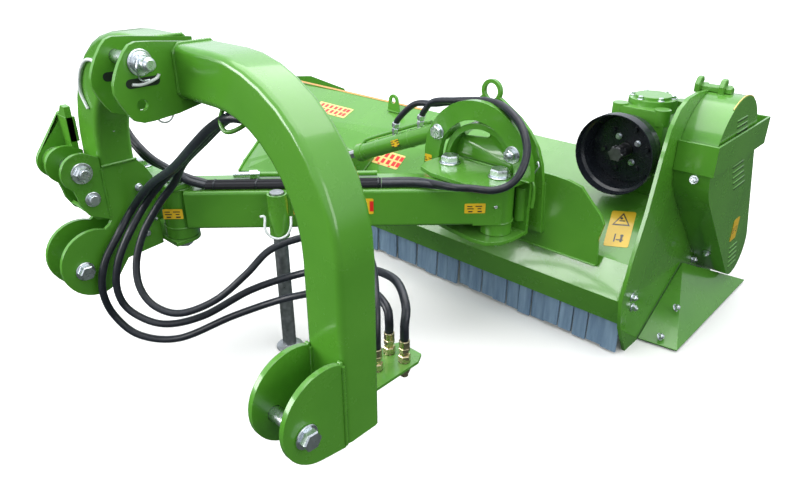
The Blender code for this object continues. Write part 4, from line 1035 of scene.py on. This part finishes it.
# A thin dark plate on the carriage web is painted shade in its slot.
plate("web_slot_shade", [(0.531, 0.330), (0.546, 0.330), (0.546, 0.424), (0.531, 0.424)], "y", 0.0992, 0.1004,
      GAP_SHADE, "carriage", 0)
form = bmesh.new()
disc(form, (0.588, 0.1005, 0), Z_AXIS, 0.0155, 0.348, 0.444)
form_piece("web_post", form, PAINT, "carriage")
plate("cheek_rib", [(-0.2385, -0.7595), (-0.1873, -0.7595), (-0.1873, -0.7425), (-0.2385, -0.7425)], "z",
      0.560, 0.6640, PAINT, "headstock")
plate("cheek_rib_top", [(-0.2385, 0.655), (-0.1874, 0.655), (-0.1874, 0.690), (-0.2100, 0.692)], "y",
      -0.7590, -0.7430, PAINT, "headstock")
# Dark plates on both top-link plates are painted shadow in the clip slots under the pin.
hole = swing((-0.780, 0.837), 0.0085, -90, 90, 8) + swing((-0.828, 0.837), 0.0085, 90, 270, 8)
for x in (0.3497, 0.2597):
    plate("slot_shadow_%d" % round(x * 1000), hole, "x", x - 0.004, x + 0.0006, GAP_SHADE, "headstock", 0)
print("ring, beam end and cheek finished")

# %% Inside the input guard
form = bmesh.new()
loops = [[form.verts.new((x, y, z)) for x, z in swing((0.760, 0.535), radius, 0, 360, 48)[:-1]]
         for y in (0.3375, 0.3392) for radius in (0.0925, 0.0210)]
for first, second in ((0, 1), (1, 3), (3, 2), (2, 0)):
    for k in range(48):
        after = (k + 1) % 48
        form.faces.new((loops[first][k], loops[first][after], loops[second][after], loops[second][k]))
for x, z in swing((0.760, 0.535), 0.062, 10, 310, 5):
    disc(form, (x, 0.330, z), Y_AXIS, 0.0075, 0, 0.008)
form_piece("bell_floor", form, BLACK_PLASTIC, "head")
form = bmesh.new()
for x, z in swing((0.760, 0.535), 0.040, 35, 305, 3):
    bolt(form, (x, 0.3373, z), (0, -1, 0), 0.012)
form_piece("bell_bolts", form, ZINC, "head")
form = bmesh.new()
for x, z in swing((0.760, 0.535), 0.0172, 0, 300, 5):
    disc(form, (x, 0.276, z), Y_AXIS, 0.0042, 0, 0.024)
form_piece("shaft_splines", form, STEEL, "input")
print("guard floor, bolts and splines")

# %% Castings on the gearbox and hooks over the guard
form = bmesh.new()
for x in (0.700, 0.820):
    for y in (0.400, 0.540):
        disc(form, (x, y, 0), Z_AXIS, 0.022, 0.600, 0.645)
disc(form, (0.760, 0.470, 0), Z_AXIS, 0.050, 0.655, 0.664)
disc(form, (0, 0.470, 0.535), X_AXIS, 0.078, 0.862, 0.872)
for y, z in swing((0.470, 0.535), 0.066, 20, 320, 5):
    disc(form, (0, y, z), X_AXIS, 0.010, 0.852, 0.876)
form_piece("gearbox_bosses", form, CAST_PAINT, "head")
hook = [(0.460, 0.690), (0.458, 0.712), (0.470, 0.728), (0.486, 0.730), (0.494, 0.718), (0.486, 0.708),
        (0.500, 0.702), (0.530, 0.706), (0.545, 0.694), (0.540, 0.672), (0.500, 0.680)]
bar = [(0.470, 0.694), (0.470, 0.708), (0.486, 0.712), (0.498, 0.704), (0.498, 0.692)]
for label, outline, low, high in (("near", hook, 0.930, 0.944), ("far", hook, 0.868, 0.882), ("bar", bar, 0.868, 0.960)):
    plate("guard_hook_" + label, outline, "x", low, high, CAST_PAINT, "head", 0.003)
print("castings and hooks")
